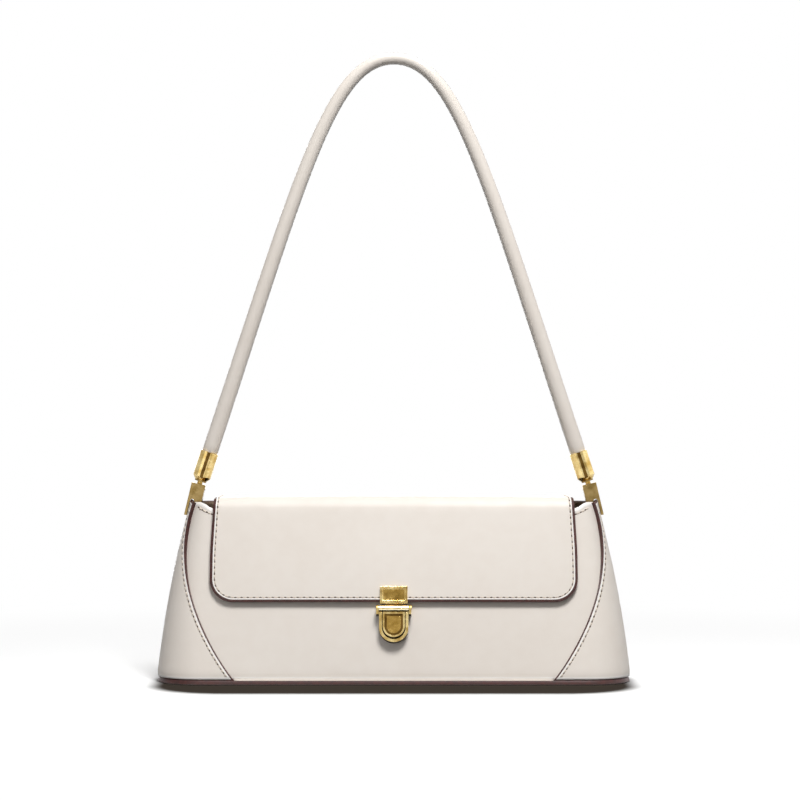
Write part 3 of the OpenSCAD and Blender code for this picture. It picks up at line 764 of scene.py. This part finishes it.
# The flap: leather glued to a fine lining, with one painted edge. Its back end is
# sewn down the back of the body, and it folds over the mouth and down the front.
FLAP_T = 2.2 * MM
FLAP_GAP = 0.9 * MM
FLAP_RISE = 3.2 * MM
FLAP_CROWN = 0.8 * MM
FLAP_LOW = 45.2 * MM
FLAP_BACK_HALF = 101 * MM
FLAP_FOLD_HALF = 102.2 * MM
FLAP_HALF = 103.6 * MM
FLAP_CORNER = 13.5 * MM
FLAP_FOLD_R = 7.1 * MM
BACK_FOLD_R = 4.5 * MM
TAIL_DROP = 24 * MM
TAIL_CORNER = 6 * MM
FLAP_SPREAD = 30 * MM
FLAP_PROBE = 0.6 * MM
FLAP_CORNER_STEPS = 12
FLAP_SIDE_STEPS = 16
FRONT_LEAN = math.atan((BASE_D - MOUTH_D) / 2 / BODY_H)

suede = Finish("flap_suede")
nap = suede.noise(0.9 * MM, 5.0, 0.7)
patches = suede.noise(18 * MM, 3.0)
suede.set(Base_Color=suede.mix(suede.band(patches, 0.3, 0.7) * 0.6 + nap * 0.3,
                               srgb(122, 74, 62), srgb(92, 52, 44)))
suede.set(Roughness=0.78 + nap * 0.12)
suede.set(Normal=suede.bump(nap, 0.35, 0.2 * MM))


FOLD_STEPS = 14


def fillet(before, corner, after, radius):
    back_way, on_way = (before - corner).normalized(), (after - corner).normalized()
    half = back_way.angle(on_way) / 2
    reach = radius / math.tan(half)
    centre = corner + (back_way + on_way).normalized() * radius / math.sin(half)
    start, end = corner + back_way * reach - centre, corner + on_way * reach - centre
    swing = start.angle(end)
    arc = []
    for i in range(FOLD_STEPS + 1):
        share = i / FOLD_STEPS
        weights = math.sin((1 - share) * swing), math.sin(share * swing)
        arc.append(centre + (start * weights[0] + end * weights[1]) / math.sin(swing))
    return arc


flap_top = BODY_H + FLAP_RISE - 0.6 * FLAP_CROWN
tail_low = flap_top - FLAP_T - SEAT_GAP - TAIL_DROP
front_line = PANEL_IN - (FLAP_GAP + FLAP_T) / math.cos(FRONT_LEAN)
flap_end_z = FLAP_LOW + FLAP_T / 2 * math.sin(FRONT_LEAN)
side_view = [Vector((depth_half(tail_low) + SEAT_GAP, tail_low)),
             Vector((depth_half(flap_top) + SEAT_GAP, flap_top)),
             Vector((-(depth_half(flap_top) - front_line), flap_top)),
             Vector((-(depth_half(flap_end_z) - front_line), flap_end_z))]
profile = ([side_view[0]] + fillet(*side_view[:3], BACK_FOLD_R)
           + fillet(*side_view[1:], FLAP_FOLD_R) + [side_view[3]])
spans = [(b - a).length for a, b in zip(profile, profile[1:])]
profile_s = np.concatenate([[0], np.cumsum(spans)])
FLAP_LENGTH = float(profile_s[-1])
hinge_s = float(profile_s[1 + FOLD_STEPS // 2])
fold_s = float(profile_s[-2 - FOLD_STEPS // 2])


def profile_at(s):
    return tuple(float(np.interp(s, profile_s, [p[k] for p in profile])) for k in (0, 1))


def on_flap(x, minus_s):
    s = -minus_s
    y, z = profile_at(s)
    before = profile_at(max(0, s - FLAP_PROBE))
    after = profile_at(min(FLAP_LENGTH, s + FLAP_PROBE))
    run = Vector((after[0] - before[0], after[1] - before[1])).normalized()
    out_y, out_z = run[1], -run[0]
    past_end = min(s, 0) + max(s - FLAP_LENGTH, 0)
    y, z = y + run[0] * past_end, z + run[1] * past_end
    bow = max(0, swell(x, min(z, BODY_H)))
    crown = FLAP_CROWN * (1 - (x / FLAP_HALF) ** 2)
    return x, y + bow * out_y, z + crown * max(0, out_z)


def flap_half(s):
    if s < hinge_s:
        return FLAP_BACK_HALF
    if s < fold_s:
        return mix(FLAP_BACK_HALF, FLAP_FOLD_HALF, (s - hinge_s) / (fold_s - hinge_s))
    return mix(FLAP_FOLD_HALF, FLAP_HALF, min(1, (s - fold_s) / FLAP_SPREAD))


def flap_outline(inset=0.0):
    low, tail = FLAP_CORNER - inset, TAIL_CORNER - inset
    turns = [math.pi / 2 * i / FLAP_CORNER_STEPS for i in range(FLAP_CORNER_STEPS + 1)]
    side = []
    for turn in turns:
        side.append((FLAP_BACK_HALF - TAIL_CORNER + tail * math.sin(turn),
                     TAIL_CORNER - tail * math.cos(turn)))
    for i in range(1, FLAP_SIDE_STEPS):
        s = mix(TAIL_CORNER, FLAP_LENGTH - FLAP_CORNER, i / FLAP_SIDE_STEPS)
        side.append((flap_half(s) - inset, s))
    for turn in turns:
        side.append((FLAP_HALF - FLAP_CORNER + low * math.cos(turn),
                     FLAP_LENGTH - FLAP_CORNER + low * math.sin(turn)))
    right = [(x, -s) for x, s in side]
    left = [(-x, -s) for x, s in side]
    return left + right[::-1]


flap = cut_leather("flap_leather", flap_outline(), on_flap, FLAP_T - 0.05 * MM,
                   [cream_leather, painted_edge, suede.material], PAINT_WIDE,
                   lap=1.6 * MM, ripple_depth=0.1 * MM)
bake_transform(flap)
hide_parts("flap", "flap_lining", "flap_tail")
flap_thread = sew("flap_thread", flap_outline(GROOVE_AT), on_flap, closed=True)
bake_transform(flap_thread)


# The lining: a cup of twill, sewn to the body along a folded hem at the mouth.
LINING_T = 0.6 * MM
LINING_IN = 5.7 * MM
LINING_MOUTH_IN = 4.02 * MM
LINING_DROP = 0.6 * MM
BOARD_T = 1.4 * MM
HEM = 9 * MM
HEM_LIFT = 0.45 * MM
HEM_SEAM = 0.8 * HEM
HEM_STITCHES = 240
SLACK_SIZE = 24 * MM
SLACK_DEEP = 0.5 * MM
FLOOR_IN = [24 * MM, 16 * MM, 9 * MM, 4 * MM, 1.6 * MM, 0.5 * MM]
CUP_COLUMNS = 208
CUP_FOOT = BASE_T + BOARD_T + SEAT_GAP
CUP_ROUND = 4 * end_along(BODY_H)

twill_tan = srgb(150, 128, 108)
twill_dark = srgb(118, 97, 80)


def twill_finish(name, tone, deep):
    f = Finish(name)
    ribs = f.node("TexWave", {"wave_type": "BANDS", "bands_direction": "DIAGONAL"},
                  {"Vector": f.place(), "Scale": 0.32 / (0.9 * MM), "Distortion": 0.8,
                   "Detail": 2.0, "Detail Scale": 2.0}, out=1)
    yarn = f.noise(0.5 * MM, 3.0)
    wear = f.noise(30 * MM, 3.0)
    shade = ribs * 0.45 + yarn * 0.2 + f.band(wear, 0.3, 0.7) * 0.3
    f.set(Base_Color=f.mix(shade, tone, deep))
    f.set(Roughness=0.82 + yarn * 0.1)
    f.set(Normal=f.bump(ribs + yarn * 0.4, 0.45, 0.18 * MM))
    f.set(Sheen_Weight=0.15, Sheen_Roughness=0.5)
    return f.material


lining_twill = twill_finish("lining_twill", twill_tan, twill_dark)


def lining_inset(z):
    share = z / BODY_H
    return mix(LINING_IN, LINING_MOUTH_IN, share * share * (3 - 2 * share))


def cup_quarter(around):
    quarter = (around / CUP_ROUND * 4) % 4
    share = quarter % 1 if int(quarter) % 2 == 0 else 1 - quarter % 1
    return quarter, share, quarter < 1 or quarter >= 3


def on_cup(around, z, more=0.0):
    quarter, share, in_front = cup_quarter(around)
    x, y = wall(share * end_along(z), z, lining_inset(z) + more)
    return (x if quarter < 2 else -x), (-y if in_front else y), z


def cup_rim(around):
    _, share, in_front = cup_quarter(around)
    along = share * end_along(BODY_H)
    return (front_top(along) if in_front else BODY_H) - LINING_DROP


WALL_STEPS = [0.0, 0.008, 0.02] + [0.05 + 0.85 * i / 18 for i in range(19)]
HEM_STEPS = [HEM, 0.96 * HEM, 0.6 * HEM, 0.2 * HEM, 0.0]
cup_rows = len(FLOOR_IN) + len(WALL_STEPS) + len(HEM_STEPS) - 1
bpy.ops.object.select_all(action="DESELECT")
bpy.ops.mesh.primitive_grid_add(x_subdivisions=CUP_COLUMNS, y_subdivisions=cup_rows, size=2)
lining = bpy.context.object
lining.name = "lining_cup"
for vertex in lining.data.vertices:
    around = (vertex.co.x + 1) / 2 * CUP_ROUND % CUP_ROUND
    row = round((vertex.co.y + 1) / 2 * cup_rows)
    rim = cup_rim(around)
    if row < len(FLOOR_IN):
        vertex.co = on_cup(around, CUP_FOOT, FLOOR_IN[row])
        continue
    row -= len(FLOOR_IN)
    if row < len(WALL_STEPS):
        z = mix(CUP_FOOT, rim - HEM, WALL_STEPS[row])
        fold = 0.0
    else:
        z = rim - HEM_STEPS[row - len(WALL_STEPS)]
        fold = HEM_LIFT if row > len(WALL_STEPS) else 0.0
    here = Vector(on_cup(around, z))
    rise = math.sin(math.pi * min(1, z / rim))
    slack = max(0, ripple(here, SLACK_SIZE, 1.0)) * rise * SLACK_DEEP
    vertex.co = on_cup(around, z, fold + slack)
only(lining)
bpy.ops.object.mode_set(mode="EDIT")
bpy.ops.mesh.select_all(action="SELECT")
bpy.ops.mesh.remove_doubles(threshold=0.01 * MM)
bpy.ops.mesh.select_all(action="DESELECT")
bpy.ops.mesh.select_mode(type="EDGE")
bpy.ops.mesh.select_non_manifold()
bpy.ops.object.mode_set(mode="OBJECT")
for edge in lining.data.edges:
    ends = [lining.data.vertices[v].co.z for v in edge.vertices]
    edge.select = edge.select and max(ends) < CUP_FOOT + 1 * MM
for vertex in lining.data.vertices:
    vertex.select = vertex.select and vertex.co.z < CUP_FOOT + 1 * MM
bpy.ops.object.mode_set(mode="EDIT")
bpy.ops.mesh.edge_face_add()
bpy.ops.mesh.select_mode(type="VERT")
bpy.ops.mesh.select_all(action="SELECT")
bpy.ops.mesh.normals_make_consistent(inside=False)
bpy.ops.object.mode_set(mode="OBJECT")
lining.data.materials.append(lining_twill)
apply_modifier(lining, "SOLIDIFY", thickness=LINING_T, offset=-1, use_even_offset=False)
only(lining)
bpy.ops.object.mode_set(mode="EDIT")
bpy.ops.mesh.select_all(action="SELECT")
bpy.ops.mesh.normals_make_consistent(inside=False)
bpy.ops.object.mode_set(mode="OBJECT")
lining.data.shade_smooth()
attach(lining, "shell")
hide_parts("lining")

places = [CUP_ROUND * i / HEM_STITCHES for i in range(HEM_STITCHES)]
route = [(around, cup_rim(around) - HEM_SEAM) for around in places]
lining_hem = sew("lining_hem_thread", route,
                 lambda around, z: on_cup(-around, z, LINING_T + HEM_LIFT * 1.2),
                 closed=True, shift=0.0)
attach(lining_hem, "shell")

board_finish = Finish("fibre_board")
fibres = board_finish.noise(1.2 * MM, 4.0)
board_finish.set(Base_Color=board_finish.mix(fibres, srgb(158, 128, 96), srgb(128, 100, 72)))
board_finish.set(Roughness=0.85 + fibres * 0.1)
board_finish.set(Normal=board_finish.bump(fibres, 0.4, 0.1 * MM))


def dress(node, material):
    slots = frame["nodes"][node].data.materials
    slots.clear()
    slots.append(material)


dress("base_board", board_finish.material)


# The pocket: a patch of the same twill with folded edges, topstitched to the lining
# of the back and open along its upper hem.
POCKET_W = 130 * MM
POCKET_TOP = 80 * MM
POCKET_LOW = 28 * MM
POCKET_SAG = 0.9 * MM


def on_pocket(x, z):
    depth = lining_inset(z) + LINING_T + SEAT_GAP + LINING_T
    up = max(0, min(1, (z - POCKET_LOW) / (POCKET_TOP - POCKET_LOW)))
    sag = POCKET_SAG * math.cos(math.pi * x / POCKET_W) * up ** 3
    return x, wall(abs(x), z, depth)[1] - max(0, sag), z


pocket = ruled_leather("pocket_patch", lambda z: POCKET_W / 2, POCKET_LOW,
                       lambda x: POCKET_TOP, on_pocket, LINING_T - 0.05 * MM,
                       [lining_twill] * 3, 0.2 * MM, step=6 * MM)
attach(pocket, "shell")
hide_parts("inner_pocket")
left, right = GROOVE_AT - POCKET_W / 2, POCKET_W / 2 - GROOVE_AT
low, high = POCKET_LOW + GROOVE_AT, POCKET_TOP - GROOVE_AT
pocket_thread = sew("pocket_thread", [(left, high), (left, low), (right, low), (right, high)],
                    on_pocket, closed=True)
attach(pocket_thread, "shell")


# Metal: cast zinc, plated in brass and toned. Each casting is taken from the solid,
# and its edges are rounded and rubbed bright.
brass_deep = srgb(168, 132, 60)
brass = srgb(196, 162, 90)
brass_bright = srgb(240, 218, 158)


def brass_finish(name, low, high, rough):
    f = Finish(name)
    cloud = f.noise(5 * MM, 4.0, 0.6)
    hair = f.noise(0.35 * MM, 2.0)
    f.set(Base_Color=f.mix(f.band(cloud, 0.3, 0.7), low, high))
    f.set(Metallic=1.0)
    f.set(Roughness=rough + f.band(cloud, 0.3, 0.7) * 0.1 + hair * 0.05)
    f.set(Normal=f.bump(hair, 0.12, 0.05 * MM))
    return f.material


toned_brass = brass_finish("toned_brass", brass_deep, brass, 0.17)
aged_brass = brass_finish("aged_brass", srgb(84, 60, 24), srgb(118, 90, 42), 0.3)
worn_brass = brass_finish("worn_brass", srgb(136, 112, 64), srgb(164, 140, 92), 0.25)
# Near-white brass for the lock's bar: its polish, with a painted highlight
polished_brass_painted_highlight = brass_finish("polished_brass_painted_highlight", srgb(246, 230, 180), srgb(252, 242, 206), 0.12)
# Near-black brass: painted shade on the lock's sides below its bar, and painted shade with
# patina on the case's sunk front faces
brass_painted_shade_and_patina = brass_finish("brass_painted_shade_and_patina", srgb(40, 26, 10), srgb(64, 46, 20), 0.42)
rubbed_brass = brass_finish("rubbed_brass", brass, brass_bright, 0.15)
spring_steel = brass_finish("spring_steel", srgb(150, 150, 152), srgb(178, 178, 180), 0.3)


def casting(node, materials, edge, reshape=None, tone=None):
    source = frame["nodes"][node]
    piece = bpy.data.objects.new(node + "_metal", source.data.copy())
    bpy.context.scene.collection.objects.link(piece)
    piece.data.materials.clear()
    for material in materials:
        piece.data.materials.append(material)
    piece.data.polygons.foreach_set("material_index", [0] * len(piece.data.polygons))
    only(piece)
    bpy.ops.mesh.customdata_custom_splitnormals_clear()
    bpy.ops.object.mode_set(mode="EDIT")
    bpy.ops.mesh.select_all(action="SELECT")
    bpy.ops.mesh.remove_doubles(threshold=0.002 * MM)
    bpy.ops.mesh.dissolve_limited(angle_limit=math.radians(1))
    bpy.ops.object.mode_set(mode="OBJECT")
    if tone:
        for face in piece.data.polygons:
            face.material_index = tone(face.center, face.normal)
    if reshape:
        for vertex in piece.data.vertices:
            vertex.co = reshape(vertex.co)
    piece.data.shade_smooth()
    apply_modifier(piece, "BEVEL", width=edge, segments=2, limit_method="ANGLE",
                   angle_limit=math.radians(28), material=1)
    apply_modifier(piece, "WEIGHTED_NORMAL", weight=100, keep_sharp=True)
    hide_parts(node)
    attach(piece, next(b for b, names in bodies.items() if node in names))
    return piece


bodies = frame["record"]["behaviour"]["bodies"]
TONED, RUBBED, AGED, SHADE_AND_PATINA, WORN, POLISH_AND_PAINTED_HIGHLIGHT = 0, 1, 2, 3, 4, 5
BRASS = [toned_brass, rubbed_brass, aged_brass, brass_painted_shade_and_patina, worn_brass, polished_brass_painted_highlight]
STEEL = [spring_steel, spring_steel]

# Depth off the front panel, in the frame of the lock and in that of its flap plate.
# A face that lies further out than its casting's raised depth is rubbed.
LOCK_AT = Vector((0, -30.555 * MM, 41.1 * MM))
LOCK_LEAN = math.radians(14.45)
PLATE_LEAN = math.radians(15.495)
PLATE_RAISED = 4.8 * MM
CASE_RAISED = 4.8 * MM
THUMB_RAISED = 4.5 * MM
THUMB_STEP = 4.3 * MM
BAR_FOOT = -2.2 * MM
FACING = 0.98


def off_panel(place, lean):
    return (place - LOCK_AT).dot(Vector((0, -math.cos(lean), math.sin(lean))))


def above_bar(place, lean):
    return (place - LOCK_AT).dot(Vector((0, math.sin(lean), math.cos(lean))))


def faces_front(normal, lean):
    return normal.dot(Vector((0, -math.cos(lean), math.sin(lean)))) > FACING


def tone_plate(place, normal):
    return RUBBED if off_panel(place, PLATE_LEAN) > PLATE_RAISED else TONED


# The thumb plate: its bar is near-white brass, a painted highlight on its polish, and its
# sides below the bar are near-black brass, painted shade. On its front the ridge is rubbed,
# the middle toned and the groove aged.
def tone_thumb(place, normal):
    if not faces_front(normal, LOCK_LEAN):
        return POLISH_AND_PAINTED_HIGHLIGHT if above_bar(place, LOCK_LEAN) > BAR_FOOT else SHADE_AND_PATINA
    depth = off_panel(place, LOCK_LEAN)
    if depth > THUMB_RAISED:
        return RUBBED
    return TONED if depth > THUMB_STEP else AGED


# The case: its bar and the faces above it are toned, and its raised front is rubbed. Its sides
# below the bar are near-black, painted shade, and so are its sunk front faces, painted shade
# with patina.
def tone_case(place, normal):
    if not faces_front(normal, LOCK_LEAN):
        return TONED if above_bar(place, LOCK_LEAN) > BAR_FOOT else SHADE_AND_PATINA
    return RUBBED if off_panel(place, LOCK_LEAN) > CASE_RAISED else SHADE_AND_PATINA


def tone_clip(place, normal):
    return WORN


TONES = {"lock_plate": tone_plate, "thumb_plate": tone_thumb, "lock_case": tone_case,
         "left_clip": tone_clip, "right_clip": tone_clip}
for node, edge in (("left_clip", 0.22), ("right_clip", 0.22), ("left_pin", 0.12),
                   ("right_pin", 0.12), ("clip_screws", 0.06), ("left_lug", 0.1),
                   ("right_lug", 0.1), ("lock_case", 0.24), ("thumb_plate", 0.14),
                   ("catch_pin", 0.12), ("lock_plate", 0.28), ("lock_tongue", 0.12),
                   ("plate_rivets", 0.1)):
    casting(node, BRASS, edge * MM, tone=TONES.get(node))
for node in ("lock_washer", "catch_spring"):
    casting(node, STEEL, 0.06 * MM)


# The strap ends: castings with a channel down the front and the back, crimped on to
# the leather. Their bottoms taper until they almost rest on the clips.
STRAP_LEAN = math.radians(18.3)
PIN_X = 112.301 * MM
PIN_Z = 108.22 * MM
CAP_START = 4.8 * MM
CAP_LEN = 17.2 * MM
CAP_FLOOR = 4 * MM
SOCKET_R = 4.0 * MM
NECK = 0.9 * MM
NECK_LOWER = 0.4 * MM


def strap_end(side, along):
    return Vector((side * (PIN_X - along * math.sin(STRAP_LEAN)), 0,
                   PIN_Z + along * math.cos(STRAP_LEAN)))


def lower_neck(side):
    pin = strap_end(side, 0)
    up = (strap_end(side, 1) - pin).normalized()

    def reshape(co):
        in_neck = (co - pin).dot(up) <= CAP_START + NECK
        return co - up * NECK_LOWER if in_neck else co
    return reshape


CAP_SUNK = 4.9 * MM
CHANNEL_HALF = 0.85 * MM
CHANNEL_FACING = 0.9


def tone_cap(side):
    pin = strap_end(side, 0)
    up = (strap_end(side, 1) - pin).normalized()
    across = Vector((up.z, 0, -up.x))

    def tone(place, normal):
        if (place - pin).dot(up) < CAP_START + NECK:
            return WORN
        middle = abs((place - pin).dot(across)) < CHANNEL_HALF
        sunk = abs(place.y) < CAP_SUNK and abs(normal.y) > CHANNEL_FACING
        return AGED if middle and sunk else RUBBED
    return tone


for side, node in ((-1, "left_cap"), (1, "right_cap")):
    casting(node, BRASS, 0.2 * MM, lower_neck(side), tone_cap(side))


# The strap: leather rolled round a cotton core and sewn up along its inner side,
# thickest at its ends.
STRAP_TOP = 354.6 * MM
STRAP_END_R = 4.6 * MM
STRAP_TOP_R = 3.4 * MM
LEG_PULL = 170 * MM
TOP_PULL = 36 * MM
STRAP_ROOT = CAP_START + CAP_FLOOR + SEAT_GAP
CAP_MOUTH = CAP_START + CAP_LEN
STRAP_COLUMNS = 40
STRAP_STEPS = 120
SEAM_GROOVE = 0.45 * MM
SEAM_HALF = 0.5 * MM
SEAM_CROWD = 0.08
STRAP_RIPPLE = (9 * MM, 0.05 * MM)
STRAP_STITCH = 4.4 * MM
THREAD_START = 26 * MM
THREAD_STEPS = 300

strap_leather = leather_finish("strap_leather", cream, cream_deep, 0.4)

foot = strap_end(-1, CAP_MOUTH)
lean = Vector((math.sin(STRAP_LEAN), 0, math.cos(STRAP_LEAN)))
curve = [foot, foot + lean * LEG_PULL, Vector((-TOP_PULL, 0, STRAP_TOP)),
         Vector((0, 0, STRAP_TOP))]
pinch = SOCKET_R - SEAT_GAP
half_strap = [(strap_end(-1, STRAP_ROOT), pinch - 0.6 * MM),
              (strap_end(-1, STRAP_ROOT + 0.6 * MM), pinch)]
half_strap += [(strap_end(-1, mix(STRAP_ROOT + 1 * MM, CAP_MOUTH - 1.5 * MM, i / 5)), pinch)
               for i in range(6)]
half_strap += [(strap_end(-1, CAP_MOUTH - 0.7 * MM), pinch + 0.1 * MM),
               (strap_end(-1, CAP_MOUTH - 0.2 * MM), pinch + 0.45 * MM),
               (strap_end(-1, CAP_MOUTH + 0.5 * MM), STRAP_END_R - 0.1 * MM)]
half_strap += [(bezier(curve, t), mix(STRAP_END_R, STRAP_TOP_R, t))
               for t in (i / STRAP_STEPS for i in range(1, STRAP_STEPS + 1))]
whole_strap = half_strap + [(Vector((-c.x, 0, c.z)), r) for c, r in half_strap[-2::-1]]
strap_line = [0.0]
for (a, _), (b, _) in zip(whole_strap, whole_strap[1:]):
    strap_line.append(strap_line[-1] + (b - a).length)
STRAP_LENGTH = strap_line[-1]


def strap_at(along):
    i = min(len(strap_line) - 2, max(0, int(np.searchsorted(strap_line, along)) - 1))
    share = (along - strap_line[i]) / (strap_line[i + 1] - strap_line[i])
    (a, ra), (b, rb) = whole_strap[i], whole_strap[i + 1]
    before = whole_strap[max(0, i - 1)][0]
    after = whole_strap[min(len(whole_strap) - 1, i + 2)][0]
    heading = (b - a).normalized() if share in (0, 1) else (
        (b - before).normalized().lerp((after - a).normalized(), share).normalized())
    return a.lerp(b, share), heading, mix(ra, rb, share)


def on_strap(round_by, along, more=0.0):
    centre, heading, r = strap_at(along)
    inner = Vector((heading.z, 0, -heading.x))
    turn = round_by / STRAP_TOP_R
    return centre + (inner * math.cos(turn) + Vector((0, math.sin(turn), 0))) * (r + more)


rows = len(whole_strap) - 1
bpy.ops.object.select_all(action="DESELECT")
bpy.ops.mesh.primitive_grid_add(x_subdivisions=STRAP_COLUMNS, y_subdivisions=rows, size=2)
strap = bpy.context.object
strap.name = "strap_leather"
seam_gap = []
for vertex in strap.data.vertices:
    share = (vertex.co.x + 1) / 2
    row = round((vertex.co.y + 1) / 2 * rows)
    turn = 2 * math.pi * (share - SEAM_CROWD * math.sin(2 * math.pi * share))
    centre, heading, r = strap_at(strap_line[row])
    from_seam = min(turn, 2 * math.pi - turn) * r
    lift = -SEAM_GROOVE * math.exp(-(from_seam / SEAM_HALF) ** 2)
    inner = Vector((heading.z, 0, -heading.x))
    out = inner * math.cos(turn) + Vector((0, math.sin(turn), 0))
    here = centre + out * r
    vertex.co = here + out * (lift + ripple(here, *STRAP_RIPPLE))
    seam_gap.append(from_seam)
strap.data.attributes.new("rim", "FLOAT", "POINT").data.foreach_set("value", seam_gap)
only(strap)
bpy.ops.object.mode_set(mode="EDIT")
bpy.ops.mesh.select_all(action="SELECT")
bpy.ops.mesh.remove_doubles(threshold=0.01 * MM)
bpy.ops.mesh.select_all(action="DESELECT")
bpy.ops.mesh.select_non_manifold()
bpy.ops.mesh.edge_face_add()
bpy.ops.mesh.select_all(action="SELECT")
bpy.ops.mesh.normals_make_consistent(inside=False)
bpy.ops.object.mode_set(mode="OBJECT")
strap.data.materials.append(strap_leather)
strap.data.shade_smooth()
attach(strap, "strap")
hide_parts("strap")

core_finish = Finish("cotton_core")
lay = core_finish.noise(1.0 * MM, 3.0)
core_finish.set(Base_Color=core_finish.mix(lay, srgb(216, 205, 186), srgb(190, 178, 158)))
core_finish.set(Roughness=0.85 + lay * 0.1)
core_finish.set(Normal=core_finish.bump(lay, 0.4, 0.2 * MM))
dress("strap_core", core_finish.material)

strap_route = [(0.0, mix(THREAD_START, STRAP_LENGTH - THREAD_START, i / THREAD_STEPS))
               for i in range(THREAD_STEPS + 1)]
strap_thread = sew("strap_thread", strap_route, on_strap, pitch=STRAP_STITCH,
                   shift=-0.9 * SEAM_GROOVE)
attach(strap_thread, "strap")
